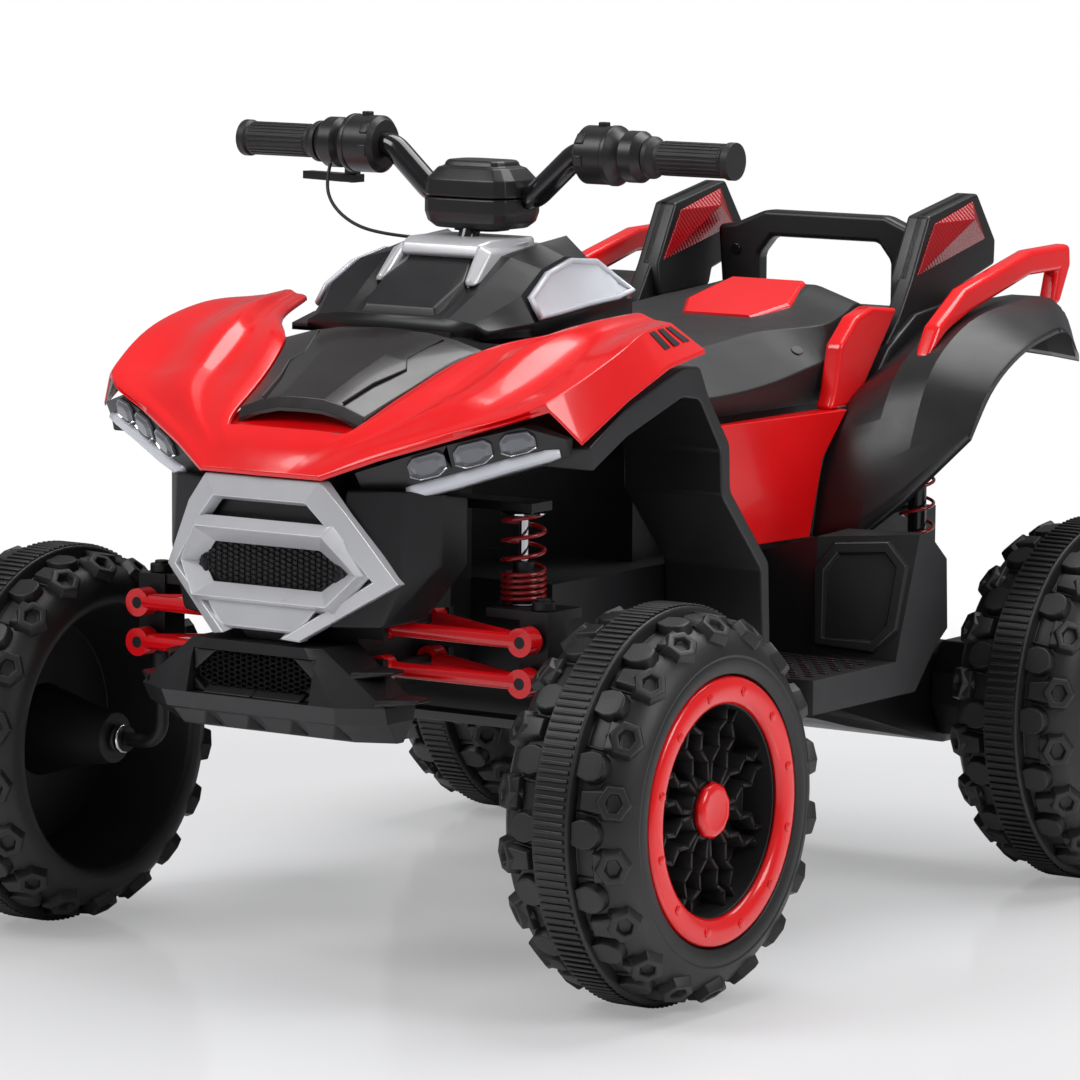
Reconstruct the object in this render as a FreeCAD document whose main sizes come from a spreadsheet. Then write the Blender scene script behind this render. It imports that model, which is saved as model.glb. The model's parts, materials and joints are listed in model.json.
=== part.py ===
"""Kids quad bike with battery drive: a parametric document in millimetres.

+Z is up, the front faces -Y and +X is the rider's left.  Z is zero at the ground and the
middle of the outer box stands over the origin.  Front-end pieces are drawn about the front
axle, rear-end pieces about the rear axle, and every piece rises with the wheels.
"""
import FreeCAD, Part
import math
import os
import re
import Sketcher
from FreeCAD import Placement, Rotation, Vector

os.makedirs("parts", exist_ok=True)
doc = FreeCAD.newDocument("kids_quad_bike")
sheet = doc.addObject("Spreadsheet::Sheet", "sizes")

# Driving dimensions, in millimetres and degrees
SIZES = {
    # wheels
    "wheel_radius": 165,
    "wheel_half_width": 68,
    "wheel_plane": 313,
    "axle_front": -359.5,
    "axle_rear": 359.5,
    "band_half": 16,
    "band_height": 4,
    "hub_inboard": 66,
    "hub_outboard": 46,
    "hub_radius": 24,
    "dish_radius": 100,
    "bead_radius": 111,
    "ring_outer": 110,
    "ring_inner": 87,
    "ring_face": 63,
    "ring_seat": 54,
    "cap_radius": 22,
    "cap_face": 53,
    # shafts and fits
    "stub_radius": 6,
    "axle_radius": 8,
    "pivot_radius": 5,
    "column_radius": 9,
    "running_gap": 0.05,
    "seat_gap": 0.3,
    # front suspension
    "arm_pivot_x": 80,
    "kingpin_x": 197,
    "upper_arm_z": 297,
    "lower_arm_z": 263,
    "arm_drop": 6,
    "arm_radius": 6.5,
    "bush_radius": 11,
    "eye_radius": 12,
    "front_bush": -62,
    "rear_bush": 9,
    "bush_length": 14,
    "eye_front": -35,
    "eye_length": 16,
    "upright_half": 14,
    "upright_low": 245,
    "upright_top": 314,
    "shock_x": 162,
    "shock_y": 22,
    "shock_rod_radius": 4,
    "shock_tube_radius": 9,
    "shock_top": 392,
    "spring_radius": 17.5,
    "spring_wire": 3.6,
    "steer_arm": 46,
    "tie_pin_radius": 4,
    "tie_rod_z": 210,
    # rear suspension
    "swing_pivot_y": 110,
    "swing_pivot_z": 180,
    "swing_half": 172,
    "rear_shock_x": 158,
    "rear_shock_y": -48,
    "rear_shock_top": 400,
    "rear_tube_radius": 8.5,
    "rear_rod_radius": 4.5,
    "rear_spring_radius": 15,
    "rear_spring_wire": 3.2,
    # body
    "tub_half": 148,
    "tub_wall": 6,
    "tub_bottom": 200,
    "tub_deck": 322,
    "seat_box_half": 120,
    "seat_base": 436,
    "frame_half": 66,
    "frame_wall": 5,
    "frame_top": 400,
    "frame_bottom": 240,
    "frame_front": -77,
    "frame_back": 86,
    "panel_wall": 4,
    # steering
    "bar_radius": 11,
    "bar_y": 196,
    "bar_z": 675,
    "bar_low_z": 636,
    "bar_half": 252,
    "grip_start": 170,
    "grip_radius": 14,
    "pod_start": 104,
    "pod_radius": 25,
    "button_radius": 5,
    "button_travel": 2,
    "column_foot_z": 222,
    "column_head_z": 618,
    "cable_diameter": 3,
}
for row, (alias, amount) in enumerate(SIZES.items(), start=1):
    sheet.set(f"A{row}", alias)
    sheet.set(f"B{row}", str(amount))
    sheet.setAlias(f"B{row}", alias)
doc.recompute()

# The stations below are drawn with the axles at these heights and places
DRAWN_RADIUS = 165
DRAWN_AXLE = {"front": -371, "rear": 348}
MIDDLE_SHIFT = "(axle_front + axle_rear) / 2 + 11.5"
nodes = {}


def size(alias):
    """The value of one cell."""
    return float(sheet.get(alias))


def formula(text):
    """An expression on the sheet, from plain alias names."""
    def named(word):
        return "sizes." + word.group() if word.group() in SIZES else word.group()

    return re.sub(r"[a-z_]{3,}", named, str(text))


def value(text):
    """The number that an expression gives now."""
    return float(sheet.evalExpression(formula(text)))


def bind(item, prop, text):
    item.setExpression(prop, formula(text))


def seat(item, end):
    """Stands a piece at its end of the bike: its axle's place and the wheels' height."""
    bind(item, ".Placement.Base.z", f"wheel_radius - {DRAWN_RADIUS}")
    if end == "middle":
        bind(item, ".Placement.Base.y", MIDDLE_SHIFT)
    else:
        bind(item, ".Placement.Base.y", f"axle_{end} - ({DRAWN_AXLE[end]})")


def body(label, end="front"):
    item = doc.addObject("PartDesign::Body", label)
    seat(item, end)
    return item


def outline(owner, role, offset, points):
    """A closed outline of straight edges on a plane of the body; text coordinates stay bound."""
    sketch = owner.newObject("Sketcher::SketchObject", owner.Name + "_outline")
    plane = [feature for feature in owner.Origin.OriginFeatures if feature.Role == role][0]
    sketch.AttachmentSupport = [(plane, "")]
    sketch.MapMode = "FlatFace"
    side = "-1" if role == "XZ_Plane" else "1"
    bind(sketch, ".AttachmentOffset.Base.z", f"{side} * ({offset})")
    corners = [Vector(value(u), value(v), 0) for u, v in points]
    count = len(corners)
    edges = [Part.LineSegment(corners[i], corners[(i + 1) % count]) for i in range(count)]
    sketch.addGeometry(edges, False)
    joins = [Sketcher.Constraint("Coincident", i, 2, (i + 1) % count, 1) for i in range(count)]
    sketch.addConstraint(joins)
    for i, pair in enumerate(points):
        for kind, coordinate in zip(("DistanceX", "DistanceY"), pair):
            if isinstance(coordinate, str):
                held = sketch.addConstraint(Sketcher.Constraint(kind, -1, 1, i, 1, value(coordinate)))
                bind(sketch, f"Constraints[{held}]", coordinate)
    return sketch


def prism(label, role, start, stop, points, end="front"):
    """An outline padded between two offsets along the plane's own row axis."""
    item = body(label, end)
    low, high = (stop, start) if role == "XZ_Plane" else (start, stop)
    sketch = outline(item, role, low, points)
    pad = item.newObject("PartDesign::Pad", label + "_pad")
    pad.Profile = sketch
    bind(pad, "Length", f"abs(({high}) - ({low}))")
    return item


def block(label, x, y, z, end="front"):
    """A box from its ranges along X, Y and Z."""
    corners = [(x[0], y[0]), (x[1], y[0]), (x[1], y[1]), (x[0], y[1])]
    return prism(label, "XY_Plane", z[0], z[1], corners, end)


def loft(label, role, stations, end="front"):
    """A faceted solid through outlines on parallel planes."""
    item = body(label, end)
    sketches = [outline(item, role, offset, points) for offset, points in stations]
    skin = item.newObject("PartDesign::AdditiveLoft", label + "_loft")
    skin.Profile = sketches[0]
    skin.Sections = sketches[1:]
    skin.Ruled = True
    return item


def sheet_loft(label, role, stations, shift, end="front"):
    """A moulded sheet: each station is an open path, thickened by one shift."""
    closed = []
    for offset, path in stations:
        back = [(u + shift[0], v + shift[1]) for u, v in reversed(path)]
        closed.append((offset, list(path) + back))
    return loft(label, role, closed, end)


def turned(label, profile, end="front"):
    """A full turn about the X axis of a profile of (x, radius) points."""
    item = body(label, end)
    sketch = outline(item, "XY_Plane", 0, profile)
    spin = item.newObject("PartDesign::Revolution", label + "_turn")
    spin.Profile = sketch
    spin.ReferenceAxis = (sketch, ["H_Axis"])
    spin.Angle = 360
    return item


def solid(label, shape, end="front"):
    """A shape made by the functions below, seated like the bodies."""
    item = doc.addObject("Part::Feature", label)
    item.Shape = shape
    seat(item, end)
    return item


def rod(foot, head, radius):
    """A round rod between two points."""
    run = head - foot
    return Part.makeCylinder(radius, run.Length, foot, run)


def bent_wire(points, radius):
    """Straight runs joined by tangent arcs."""
    edges = []
    start = points[0]
    for before, corner, after in zip(points, points[1:], points[2:]):
        back = (before - corner).normalize()
        ahead = (after - corner).normalize()
        half = back.getAngle(ahead) / 2
        reach = radius / math.tan(half)
        entry = corner + back * reach
        leave = corner + ahead * reach
        middle = (back + ahead).normalize()
        crown = corner + middle * (radius / math.sin(half) - radius)
        edges.append(Part.LineSegment(start, entry).toShape())
        edges.append(Part.Arc(entry, crown, leave).toShape())
        start = leave
    edges.append(Part.LineSegment(start, points[-1]).toShape())
    return Part.Wire(edges)


def tube_along(path, radius):
    """A round bar swept along a wire."""
    first = path.OrderedEdges[0]
    way = first.tangentAt(first.FirstParameter)
    ring = Part.Wire(Part.makeCircle(radius, first.valueAt(first.FirstParameter), way))
    return path.makePipeShell([ring], True, False)


def biarc(start, heading, finish, leaving):
    """Two arcs that leave start along heading and reach finish along leaving."""
    run = finish - start
    both = heading + leaving
    bend = 2 * (1 - heading.dot(leaving))
    lean = run.dot(both)
    reach = (math.sqrt(lean * lean + bend * run.dot(run)) - lean) / bend
    near = start + heading * reach
    far = finish - leaving * reach
    middle = (near + far) * 0.5
    arcs = []
    for left, corner, right in ((start, near, middle), (middle, far, finish)):
        chord = (left + right) * 0.5
        rise = corner - chord
        half = (right - left).Length / 2
        turn = math.atan2(rise.Length, half)
        crown = chord + rise.normalize() * (half * math.tan(turn / 2))
        arcs.append(Part.Arc(left, crown, right).toShape())
    return arcs


def coil(label, centre, radius, wire, pitches):
    """One unbroken spring whose turns climb by the given pitches, from its foot."""
    quarters = [pitch / 4 for pitch in pitches for quarter in range(4)]
    height = [centre.z]
    for climb in quarters:
        height.append(height[-1] + climb)
    slopes = [quarters[0]] + [(a + b) / 2 for a, b in zip(quarters, quarters[1:])] + [quarters[-1]]
    edges = []
    places = []
    headings = []
    for step, z in enumerate(height):
        angle = step * math.pi / 2
        places.append(Vector(centre.x + radius * math.cos(angle), centre.y + radius * math.sin(angle), z))
        climb = slopes[step] / (radius * math.pi / 2)
        headings.append(Vector(-math.sin(angle), math.cos(angle), climb).normalize())
    for step in range(len(quarters)):
        edges += biarc(places[step], headings[step], places[step + 1], headings[step + 1])
    gap = min(height[i + 4] - height[i] for i in range(len(quarters) - 3)) - wire
    print(f"{label}: least gap between turns {gap:.2f} mm")
    return tube_along(Part.Wire(edges), wire / 2)


def mirrored(source, label):
    item = doc.addObject("Part::Mirroring", label)
    item.Source = source
    item.Normal = Vector(1, 0, 0)
    return item


def fused(label, items):
    item = doc.addObject("Part::MultiFuse", label)
    item.Shapes = items
    item.Refine = True
    return item


def cut(label, base, tool):
    item = doc.addObject("Part::Cut", label)
    item.Base = base
    item.Tool = tool
    item.Refine = True
    return item


def group(label, items):
    item = doc.addObject("Part::Compound", label)
    item.Links = items
    return item


def both_sides(label, item):
    """A piece and its mirror image in one node."""
    return group(label, [item, mirrored(item, label + "_far")])


def node(name, item, solids=1):
    """Registers a finished piece: its label names its file."""
    item.Label = name
    nodes[name] = (item, solids)
    return item


# Sizes that the made shapes share
kingpin = size("kingpin_x")
drop = size("arm_drop")
slack = size("running_gap")
ease = size("seat_gap")
axle = DRAWN_AXLE["front"]
eye_y = axle + size("eye_front")
column_foot = Vector(0, axle, size("column_foot_z"))
column_lean = Vector(0, 181, 398).normalize()
column_head = column_foot + column_lean * ((size("column_head_z") - column_foot.z) / column_lean.z)


def column_bore(label, radius):
    """A long drill along the steering column."""
    return solid(label, rod(column_foot - column_lean * 60, column_head + column_lean * 120, radius))


# Wheels: a moulded wheel with its bonded traction strip, and the trim of ring and cap
def wheel(place, side, end, shaft):
    turn = 0 if side == "left" else 180
    reach = "wheel_plane" if side == "left" else "-wheel_plane"
    bore = f"{shaft} + running_gap"
    base = "wheel_radius - band_height"
    tyre = turned(f"tyre_{place}", [
        ("-hub_inboard", bore),
        ("-hub_inboard", "hub_radius - 2"),
        (-40, "hub_radius + 2"),
        (14, "hub_radius + 16"),
        (20, "dish_radius"),
        ("4 - wheel_half_width", "dish_radius + 16"),
        ("-wheel_half_width", "dish_radius + 22"),
        ("1 - wheel_half_width", "wheel_radius - 24"),
        ("10 - wheel_half_width", "wheel_radius - 8"),
        ("-band_half - 1", base),
        ("-band_half", "wheel_radius"),
        ("band_half", "wheel_radius"),
        ("band_half + 1", base),
        ("wheel_half_width - 10", "wheel_radius - 8"),
        ("wheel_half_width - 1", "wheel_radius - 24"),
        ("wheel_half_width", "bead_radius + 12"),
        ("wheel_half_width - 2", "bead_radius"),
        ("ring_seat", "bead_radius"),
        ("ring_seat", "ring_inner - 2"),
        (38, "ring_inner - 4"),
        (34, "hub_radius + 6"),
        ("hub_outboard", "hub_radius"),
        ("hub_outboard", bore),
    ], end)
    ring = turned(f"ring_{place}", [
        ("ring_seat", "ring_inner"),
        ("ring_seat", "ring_outer"),
        ("ring_face - 3", "ring_outer"),
        ("ring_face", "ring_outer - 4"),
        ("ring_face", "ring_inner + 6"),
        ("ring_face - 4", "ring_inner"),
    ], end)
    cap = turned(f"cap_{place}", [
        ("hub_outboard", 0),
        ("hub_outboard", "cap_radius"),
        ("cap_face - 3", "cap_radius"),
        ("cap_face", "cap_radius - 4"),
        ("cap_face", 0),
    ], end)
    for item in (tyre, ring, cap):
        item.Placement = Placement(Vector(0, 0, 0), Rotation(Vector(0, 0, 1), turn))
        bind(item, ".Placement.Base.x", reach)
        bind(item, ".Placement.Base.y", f"axle_{end}")
        bind(item, ".Placement.Base.z", "wheel_radius")
    node(f"tyre_{place}", tyre)
    node(f"wheel_trim_{place}", group(f"trim_{place}", [ring, cap]), 2)


for end, shaft in (("front", "stub_radius"), ("rear", "axle_radius")):
    for side in ("left", "right"):
        wheel(f"{end}_{side}", side, end, shaft)


# Chassis tub: a stepped tray for the battery with the seat box on top, open above
deck_back = f"axle_rear + 52 - ({MIDDLE_SHIFT})"
tub_front = f"axle_front + frame_back - ({MIDDLE_SHIFT})"
front_tray = prism("front_tray", "YZ_Plane", "-tub_half", "tub_half", [
    (tub_front, "tub_bottom"), (125, "tub_bottom"), (140, "tub_bottom + 24"),
    (140, "tub_deck"), (tub_front, "tub_deck")], "middle")
rear_tray = prism("rear_tray", "YZ_Plane", "-seat_box_half", "seat_box_half", [
    (138, "tub_bottom + 24"), (150, "tub_bottom + 40"), (deck_back, "tub_bottom + 40"),
    (deck_back, "tub_deck"), (138, "tub_deck")], "middle")
seat_box = block("seat_box", ("-seat_box_half", "seat_box_half"), (-120, 320),
                 ("tub_deck", "seat_base - seat_gap"), "middle")
hollow_low = prism("hollow_low", "YZ_Plane", "tub_wall - tub_half", "tub_half - tub_wall", [
    (f"{tub_front} + tub_wall", "tub_bottom + tub_wall"), (120, "tub_bottom + tub_wall"),
    (132, "tub_bottom + 30"), (132, "tub_deck - tub_wall"),
    (f"{tub_front} + tub_wall", "tub_deck - tub_wall")], "middle")
hollow_high = block("hollow_high", ("tub_wall - seat_box_half", "seat_box_half - tub_wall"),
                    ("tub_wall - 120", "320 - tub_wall"), ("tub_bottom + 48", "seat_base + 10"), "middle")
shock_ears = []
for sign in ("", "-"):
    inner = f"{sign}(seat_box_half - 2)"
    outer = f"{sign}(rear_shock_x + 20)"
    low, high = (inner, outer) if sign == "" else (outer, inner)
    ear = block("rear_shock_ear", (low, high), ("348 + rear_shock_y - 18", "348 + rear_shock_y + 18"),
                ("rear_shock_top", "rear_shock_top + 9"), "rear")
    shock_ears.append(ear)
swing_ears = []
for x in (-112, 100):
    swing_ears.append(block("swing_ear", (x, x + 12), ("swing_pivot_y - 14", "swing_pivot_y + 14"),
                            ("swing_pivot_z - 14", "tub_bottom + 1"), "middle"))
pivot = Vector(-112, size("swing_pivot_y"), size("swing_pivot_z"))
swing_pin = solid("swing_pin", rod(pivot, pivot + Vector(224, 0, 0), size("axle_radius")), "middle")
tub = fused("tub", [front_tray, rear_tray, seat_box])
tub = cut("tub_hollowed_low", tub, hollow_low)
tub = cut("tub_hollowed", tub, hollow_high)
node("chassis_tub", fused("chassis_tub", [tub, swing_pin] + shock_ears + swing_ears))
node("battery", block("battery", (-75, 75), (-40, 60), ("tub_bottom + tub_wall", "tub_bottom + 100"), "middle"))


# Front frame: the steel box that carries the arms, the shock tops and the steering column
frame_front = "frame_front - 371"
frame_back = "frame_back - 371 - seat_gap"
frame_box = block("frame_box", ("-frame_half", "frame_half"), (frame_front, frame_back),
                  ("frame_bottom", "frame_top"))
frame_room = block("frame_room", ("frame_wall - frame_half", "frame_half - frame_wall"),
                   ("frame_front - 371 + frame_wall", "frame_back - 371 + 5"),
                   ("frame_bottom + frame_wall", "frame_top - frame_wall"))
tower = block("shock_tower", ("-shock_x - 18", "shock_x + 18"),
              ("shock_y - 371 - 15", "shock_y - 371 + 15"), ("shock_top", "frame_top"))
ears = []
for sign in (-1, 1):
    for level in ("upper_arm_z", "lower_arm_z"):
        for bush, gap in ((size("front_bush"), -15), (size("rear_bush"), 7.5)):
            low = axle + bush + gap
            span = ("frame_half - 1", "arm_pivot_x + 11")
            if sign < 0:
                span = ("-arm_pivot_x - 11", "1 - frame_half")
            ears.append(block("arm_ear", span, (low, low + 7.5), (f"{level} - 9", f"{level} + 9")))
        pin_y = axle + size("front_bush") - 15
        long_pin = size("rear_bush") - size("front_bush") + 30
        foot = Vector(sign * size("arm_pivot_x"), pin_y, size(level))
        ears.append(solid("arm_pin", rod(foot, foot + Vector(0, long_pin, 0), size("pivot_radius"))))
frame = fused("frame", [frame_box, tower] + ears)
frame = cut("frame_hollowed", frame, frame_room)
node("front_frame", cut("front_frame", frame, column_bore("frame_drill", size("column_radius") + slack)))


# Front suspension: wishbones on Y pivots, upright, bent stub axle, shock and spring
def wishbone(label, level):
    """Two legs from the inner bushes to one eye, drilled for the pivots."""
    inner = size("arm_pivot_x")
    z = size(level)
    eye = Vector(kingpin, eye_y, z - drop)
    length = size("eye_length")
    shape = rod(eye, eye + Vector(0, length, 0), size("eye_radius"))
    drills = rod(eye - Vector(0, 5, 0), eye + Vector(0, length + 5, 0), size("pivot_radius") + slack)
    half = size("bush_length") / 2
    for bush in (size("front_bush"), size("rear_bush")):
        centre = Vector(inner, axle + bush, z)
        shape = shape.fuse(rod(centre - Vector(0, half, 0), centre + Vector(0, half, 0), size("bush_radius")))
        shape = shape.fuse(rod(centre, eye + Vector(0, length / 2, 0), size("arm_radius")))
        drill = rod(centre - Vector(0, 20, 0), centre + Vector(0, 20, 0), size("pivot_radius") + slack)
        drills = drills.fuse(drill)
    return solid(label, shape.cut(drills).removeSplitter())


def upright_shape():
    """The block between the eyes, drilled for the kingpin, with the shock's foot and tube."""
    half = size("upright_half")
    low = size("upright_low")
    top = size("upright_top")
    shape = Part.makeBox(2 * half, 2 * half, top - low, Vector(kingpin - half, axle - half, low))
    shock = Vector(size("shock_x"), axle + size("shock_y"), top)
    foot_low = top - 8
    foot = Part.makeBox(kingpin + half - shock.x + 14, shock.y + 14 - (axle - half) - 2, top - foot_low,
                        Vector(shock.x - 14, axle - half + 2, foot_low))
    shape = shape.fuse(foot)
    tube = rod(shock, shock + Vector(0, 0, 36), size("shock_tube_radius"))
    shape = shape.fuse(tube)
    for level in ("upper_arm_z", "lower_arm_z"):
        pin = Vector(kingpin, eye_y, size(level) - drop)
        shape = shape.fuse(rod(pin, Vector(pin.x, axle, pin.z), size("pivot_radius")))
    king = Vector(kingpin, axle, low - 20)
    shape = shape.cut(rod(king, king + Vector(0, 0, 120), size("stub_radius") + slack))
    bore = rod(shock - Vector(0, 0, 3), shock + Vector(0, 0, 60), size("shock_rod_radius") + 1.5)
    return shape.cut(bore).removeSplitter()


def knuckle_shape():
    """The bent kingpin and stub axle, its collars, and the steering arm with its pin."""
    radius = size("stub_radius")
    wheel_z = DRAWN_RADIUS
    tip = size("wheel_plane") + size("hub_outboard") - 0.5
    corner = Vector(kingpin, axle, wheel_z)
    path = bent_wire([Vector(kingpin, axle, size("upright_top") + 10), corner, Vector(tip, axle, wheel_z)], 20)
    shape = tube_along(path, radius)
    under = Vector(kingpin, axle, size("upright_low") - ease)
    shape = shape.fuse(rod(under - Vector(0, 0, 14), under, radius + 5))
    above = Vector(kingpin, axle, size("upright_top") + ease)
    shape = shape.fuse(rod(above, above + Vector(0, 0, 7), radius + 4))
    hub = Vector(size("wheel_plane") - size("hub_inboard") - ease, axle, wheel_z)
    shape = shape.fuse(rod(hub - Vector(13, 0, 0), hub, radius + 5))
    arm_z = under.z - 12
    arm = Part.makeBox(16, size("steer_arm") + 8, 8, Vector(kingpin - 8, axle, arm_z))
    shape = shape.fuse(arm)
    pin = Vector(kingpin, axle + size("steer_arm"), arm_z)
    shape = shape.fuse(rod(pin, Vector(pin.x, pin.y, size("tie_rod_z") - 20), size("tie_pin_radius")))
    return shape.removeSplitter()


spring_foot = size("upright_top") + ease + size("spring_wire") / 2
spring_room = size("shock_top") - ease - size("spring_wire") / 2 - spring_foot
tight_turns = 5
wide_turns = 3
tight_pitch = size("spring_wire") + 1.4
wide_pitch = (spring_room - tight_turns * tight_pitch) / wide_turns
spring_pitches = [tight_pitch] * tight_turns + [wide_pitch] * wide_turns
spring_centre = Vector(size("shock_x"), axle + size("shock_y"), spring_foot)
left_pieces = {
    "lower_arm": wishbone("lower_wishbone", "lower_arm_z"),
    "upper_arm": wishbone("upper_wishbone", "upper_arm_z"),
    "upright": solid("upright_block", upright_shape()),
    "knuckle": solid("knuckle_rod", knuckle_shape()),
    "front_spring": solid("front_coil", coil("front_spring", spring_centre, size("spring_radius"),
                                             size("spring_wire"), spring_pitches)),
}
for name, item in left_pieces.items():
    node(f"{name}_left", item)
    node(f"{name}_right", mirrored(item, f"{name}_far"))
rod_top = Vector(size("shock_x"), axle + size("shock_y"), size("shock_top"))
shock_rod = solid("shock_rod", rod(rod_top - Vector(0, 0, 66), rod_top, size("shock_rod_radius")))
node("shock_rods", both_sides("shock_rods", shock_rod), 2)

# Tie rod: a bar with slotted eyes for the knuckle pins and a fork for the column's ball
tie_y = axle + size("steer_arm")
tie_z = size("tie_rod_z")
tie_bar = Part.makeBox(2 * kingpin + 26, 22, 8, Vector(-kingpin - 13, tie_y - 11, tie_z - 4))
slot_half = size("tie_pin_radius") + 0.9
for sign in (-1, 1):
    slot = Part.makeBox(2 * slot_half, 16, 20, Vector(sign * kingpin - slot_half, tie_y - 10, tie_z - 10))
    tie_bar = tie_bar.cut(slot)
ball_radius = 5
window = Part.makeBox(2 * ball_radius + 1.6, 16, 20, Vector(-ball_radius - 0.8, tie_y - 9, tie_z - 10))
node("tie_rod", solid("tie_rod", tie_bar.cut(window)))


# Nose: the black core behind the grille with the headlamp housings on its wings
nose_front = -480
nose_back = "frame_front - 371 - seat_gap"
plug = loft("nose_plug", "XZ_Plane", [
    (nose_front, [(-24, 285), (24, 285), (76, 337), (44, 434.5), (-44, 434.5), (-76, 337)]),
    (nose_back, [(-24, 285), (24, 285), (76, 337), (48, 457), (-48, 457), (-76, 337)]),
])
beam = block("nose_beam", (-84, 84), (nose_back, -432), ("frame_top + seat_gap", 430))


def housing_outline(bottom_y, bottom_z, top_y, top_z, back, back_top):
    return [(bottom_y, bottom_z), (top_y, top_z), (back, back_top), (back, bottom_z)]


LAMP_STATIONS = [
    (80, housing_outline(-455, 400.5, -474, 428, -432, 430)),
    (121, housing_outline(-440, 408, -458, 443, -425, 448)),
    (150, housing_outline(-428, 416, -444, 453, -412, 462)),
    (205, housing_outline(-404, 434, -416, 469, -396, 470)),
    (236, housing_outline(-391, 446, -399, 460, -389, 460)),
]
housing = loft("lamp_housing", "YZ_Plane", LAMP_STATIONS)
cheek = prism("nose_cheek", "XY_Plane", 316, "frame_top + 6", [
    (58, -453), (112, -451), (134, -414), (127, -411), (108, -440), (68, -440), (68, -448.4), (58, -448.4)])
cheek_link = block("cheek_link", (70, 100), (-446, -438), ("frame_top + seat_gap", 412))
nose_parts = [plug, beam, housing, cheek, cheek_link]
nose_parts += [mirrored(item, item.Name + "_far") for item in (housing, cheek, cheek_link)]
node("nose_shell", fused("nose_shell", nose_parts))


def lamp_face(x, share):
    """A place on the front of the lamp housing: share 0 at its lower edge, 1 at its upper."""
    for (x0, low), (x1, high) in zip(LAMP_STATIONS, LAMP_STATIONS[1:]):
        if x0 <= x <= x1:
            t = (x - x0) / (x1 - x0)
            y = [low[i][0] + t * (high[i][0] - low[i][0]) for i in (0, 1)]
            z = [low[i][1] + t * (high[i][1] - low[i][1]) for i in (0, 1)]
            return y[0] + share * (y[1] - y[0]), z[0] + share * (z[1] - z[0])


def lamp_bar(label, xs, shares, depth):
    """A lens that follows the housing's front face, standing proud of it by its depth."""
    stations = []
    for x in xs:
        y0, z0 = lamp_face(x, shares[0])
        y1, z1 = lamp_face(x, shares[1])
        stations.append((x, [(y0 - 0.2, z0), (y1 - 0.2, z1), (y1 - depth, z1), (y0 - depth, z0)]))
    return loft(label, "YZ_Plane", stations)


bar = lamp_bar("light_bar", (124, 150, 205, 233), (0.16, 0.34), 4)
node("light_bars", both_sides("light_bars", bar), 2)
LENS_SPANS = [(119, 147), (153, 181), (187, 212)]
lenses = [lamp_bar("lamp_lens", span, (0.46, 0.92), 5) for span in LENS_SPANS]
node("headlamp_lenses", group("headlamp_lenses", lenses + [mirrored(lens, "lens_far") for lens in lenses]), 6)


# Hood: the red nose and the two fender wings, one moulding about the smoked panel
HOOD_SHIFT = (0, -4)
hood_nose = sheet_loft("hood_nose", "XZ_Plane", [
    (-497, [(-61, 426), (-30, 426), (30, 426), (61, 426)]),
    (-451, [(-145, 458), (-63, 462), (63, 462), (145, 458)]),
], HOOD_SHIFT)
hood_wing = sheet_loft("hood_wing", "XZ_Plane", [
    (-452, [(62.5, 461.5), (100, 460.5), (140, 458.5), (143.5, 457.4)]),
    (-408, [(73, 482), (140, 487), (222, 489), (225, 486)]),
    (-390, [(77, 490), (145, 494), (228, 497), (245, 458)]),
    (-330, [(98, 516), (155, 524), (237, 522), (251, 490)]),
    (-270, [(144, 530), (170, 538), (228, 538), (252, 512)]),
    (-209, [(163, 542), (180, 546), (215, 540), (248, 520)]),
], (-2.5, -4))
node("hood", fused("hood", [hood_nose, hood_wing, mirrored(hood_wing, "hood_wing_far")]))
hood_panel = sheet_loft("hood_panel", "XZ_Plane", [
    (-447, [(-60.7, 466), (-29, 476), (29, 476), (60.7, 466)]),
    (-390, [(-74, 490), (-36, 502), (36, 502), (74, 490)]),
    (-330, [(-95, 516), (-48, 526), (48, 526), (95, 516)]),
    (-321, [(-101.7, 518), (-50, 529), (50, 529), (101.7, 518)]),
], HOOD_SHIFT)
node("hood_panel", hood_panel)

# Front liners: the black arches behind the front wheels
liner = prism("liner", "YZ_Plane", "tub_half + seat_gap", 247, [
    (-380, 452), (-330, 478), (-241, 507), (-214, 506), (-200, 480), (-166, 437), (-164, 397), (-101, 330),
    (-96, 240), (-108, 240), (-114, 326), (-178, 394), (-180, 432), (-214, 478), (-240, 482),
    (-325, 456), (-375, 432)])
node("front_liners", both_sides("front_liners", liner), 2)

# Grille: the silver frame, its meshes, and the bumper under it
GRILLE_BACK = "-480 - seat_gap"
side_bar = loft("grille_side", "XY_Plane", [
    (420, [(40, -493), (61, -493), (61, GRILLE_BACK), (40, GRILLE_BACK)]),
    (400, [(56, -490), (75, -489), (75, -480.6), (56, -480.6)]),
    (337, [(92, -470), (118, -466), (118, -454), (92, -456)]),
    (290, [(25, -501), (44, -501), (44, -488), (25, -488)]),
])
inner_bar = loft("grille_inner", "XY_Plane", [
    (376, [(54, -496), (72, -496), (72, -481), (54, -481)]),
    (340, [(80, -486), (97, -478), (97, -466), (84, -482)]),
    (318, [(54, -492), (72, -492), (72, -481), (54, -481)]),
])
grille_bars = [side_bar, inner_bar, mirrored(side_bar, "grille_side_far"), mirrored(inner_bar, "grille_inner_far")]
grille_bars.append(block("grille_top", (-50, 50), (-492, GRILLE_BACK), (394, 420)))
grille_bars.append(block("grille_shelf", (-66, 66), (-497, GRILLE_BACK), (366, 378)))
grille_bars.append(block("grille_sill", (-66, 66), (-493, GRILLE_BACK), (316, 328)))
grille_bars.append(block("grille_apron", (-42, 42), (-490, GRILLE_BACK), (294, 320)))
node("grille_frame", fused("grille_frame", grille_bars))
mesh_high = block("mesh_high", (-57, 57), (-484, GRILLE_BACK), (328.3, 365.7))
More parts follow.
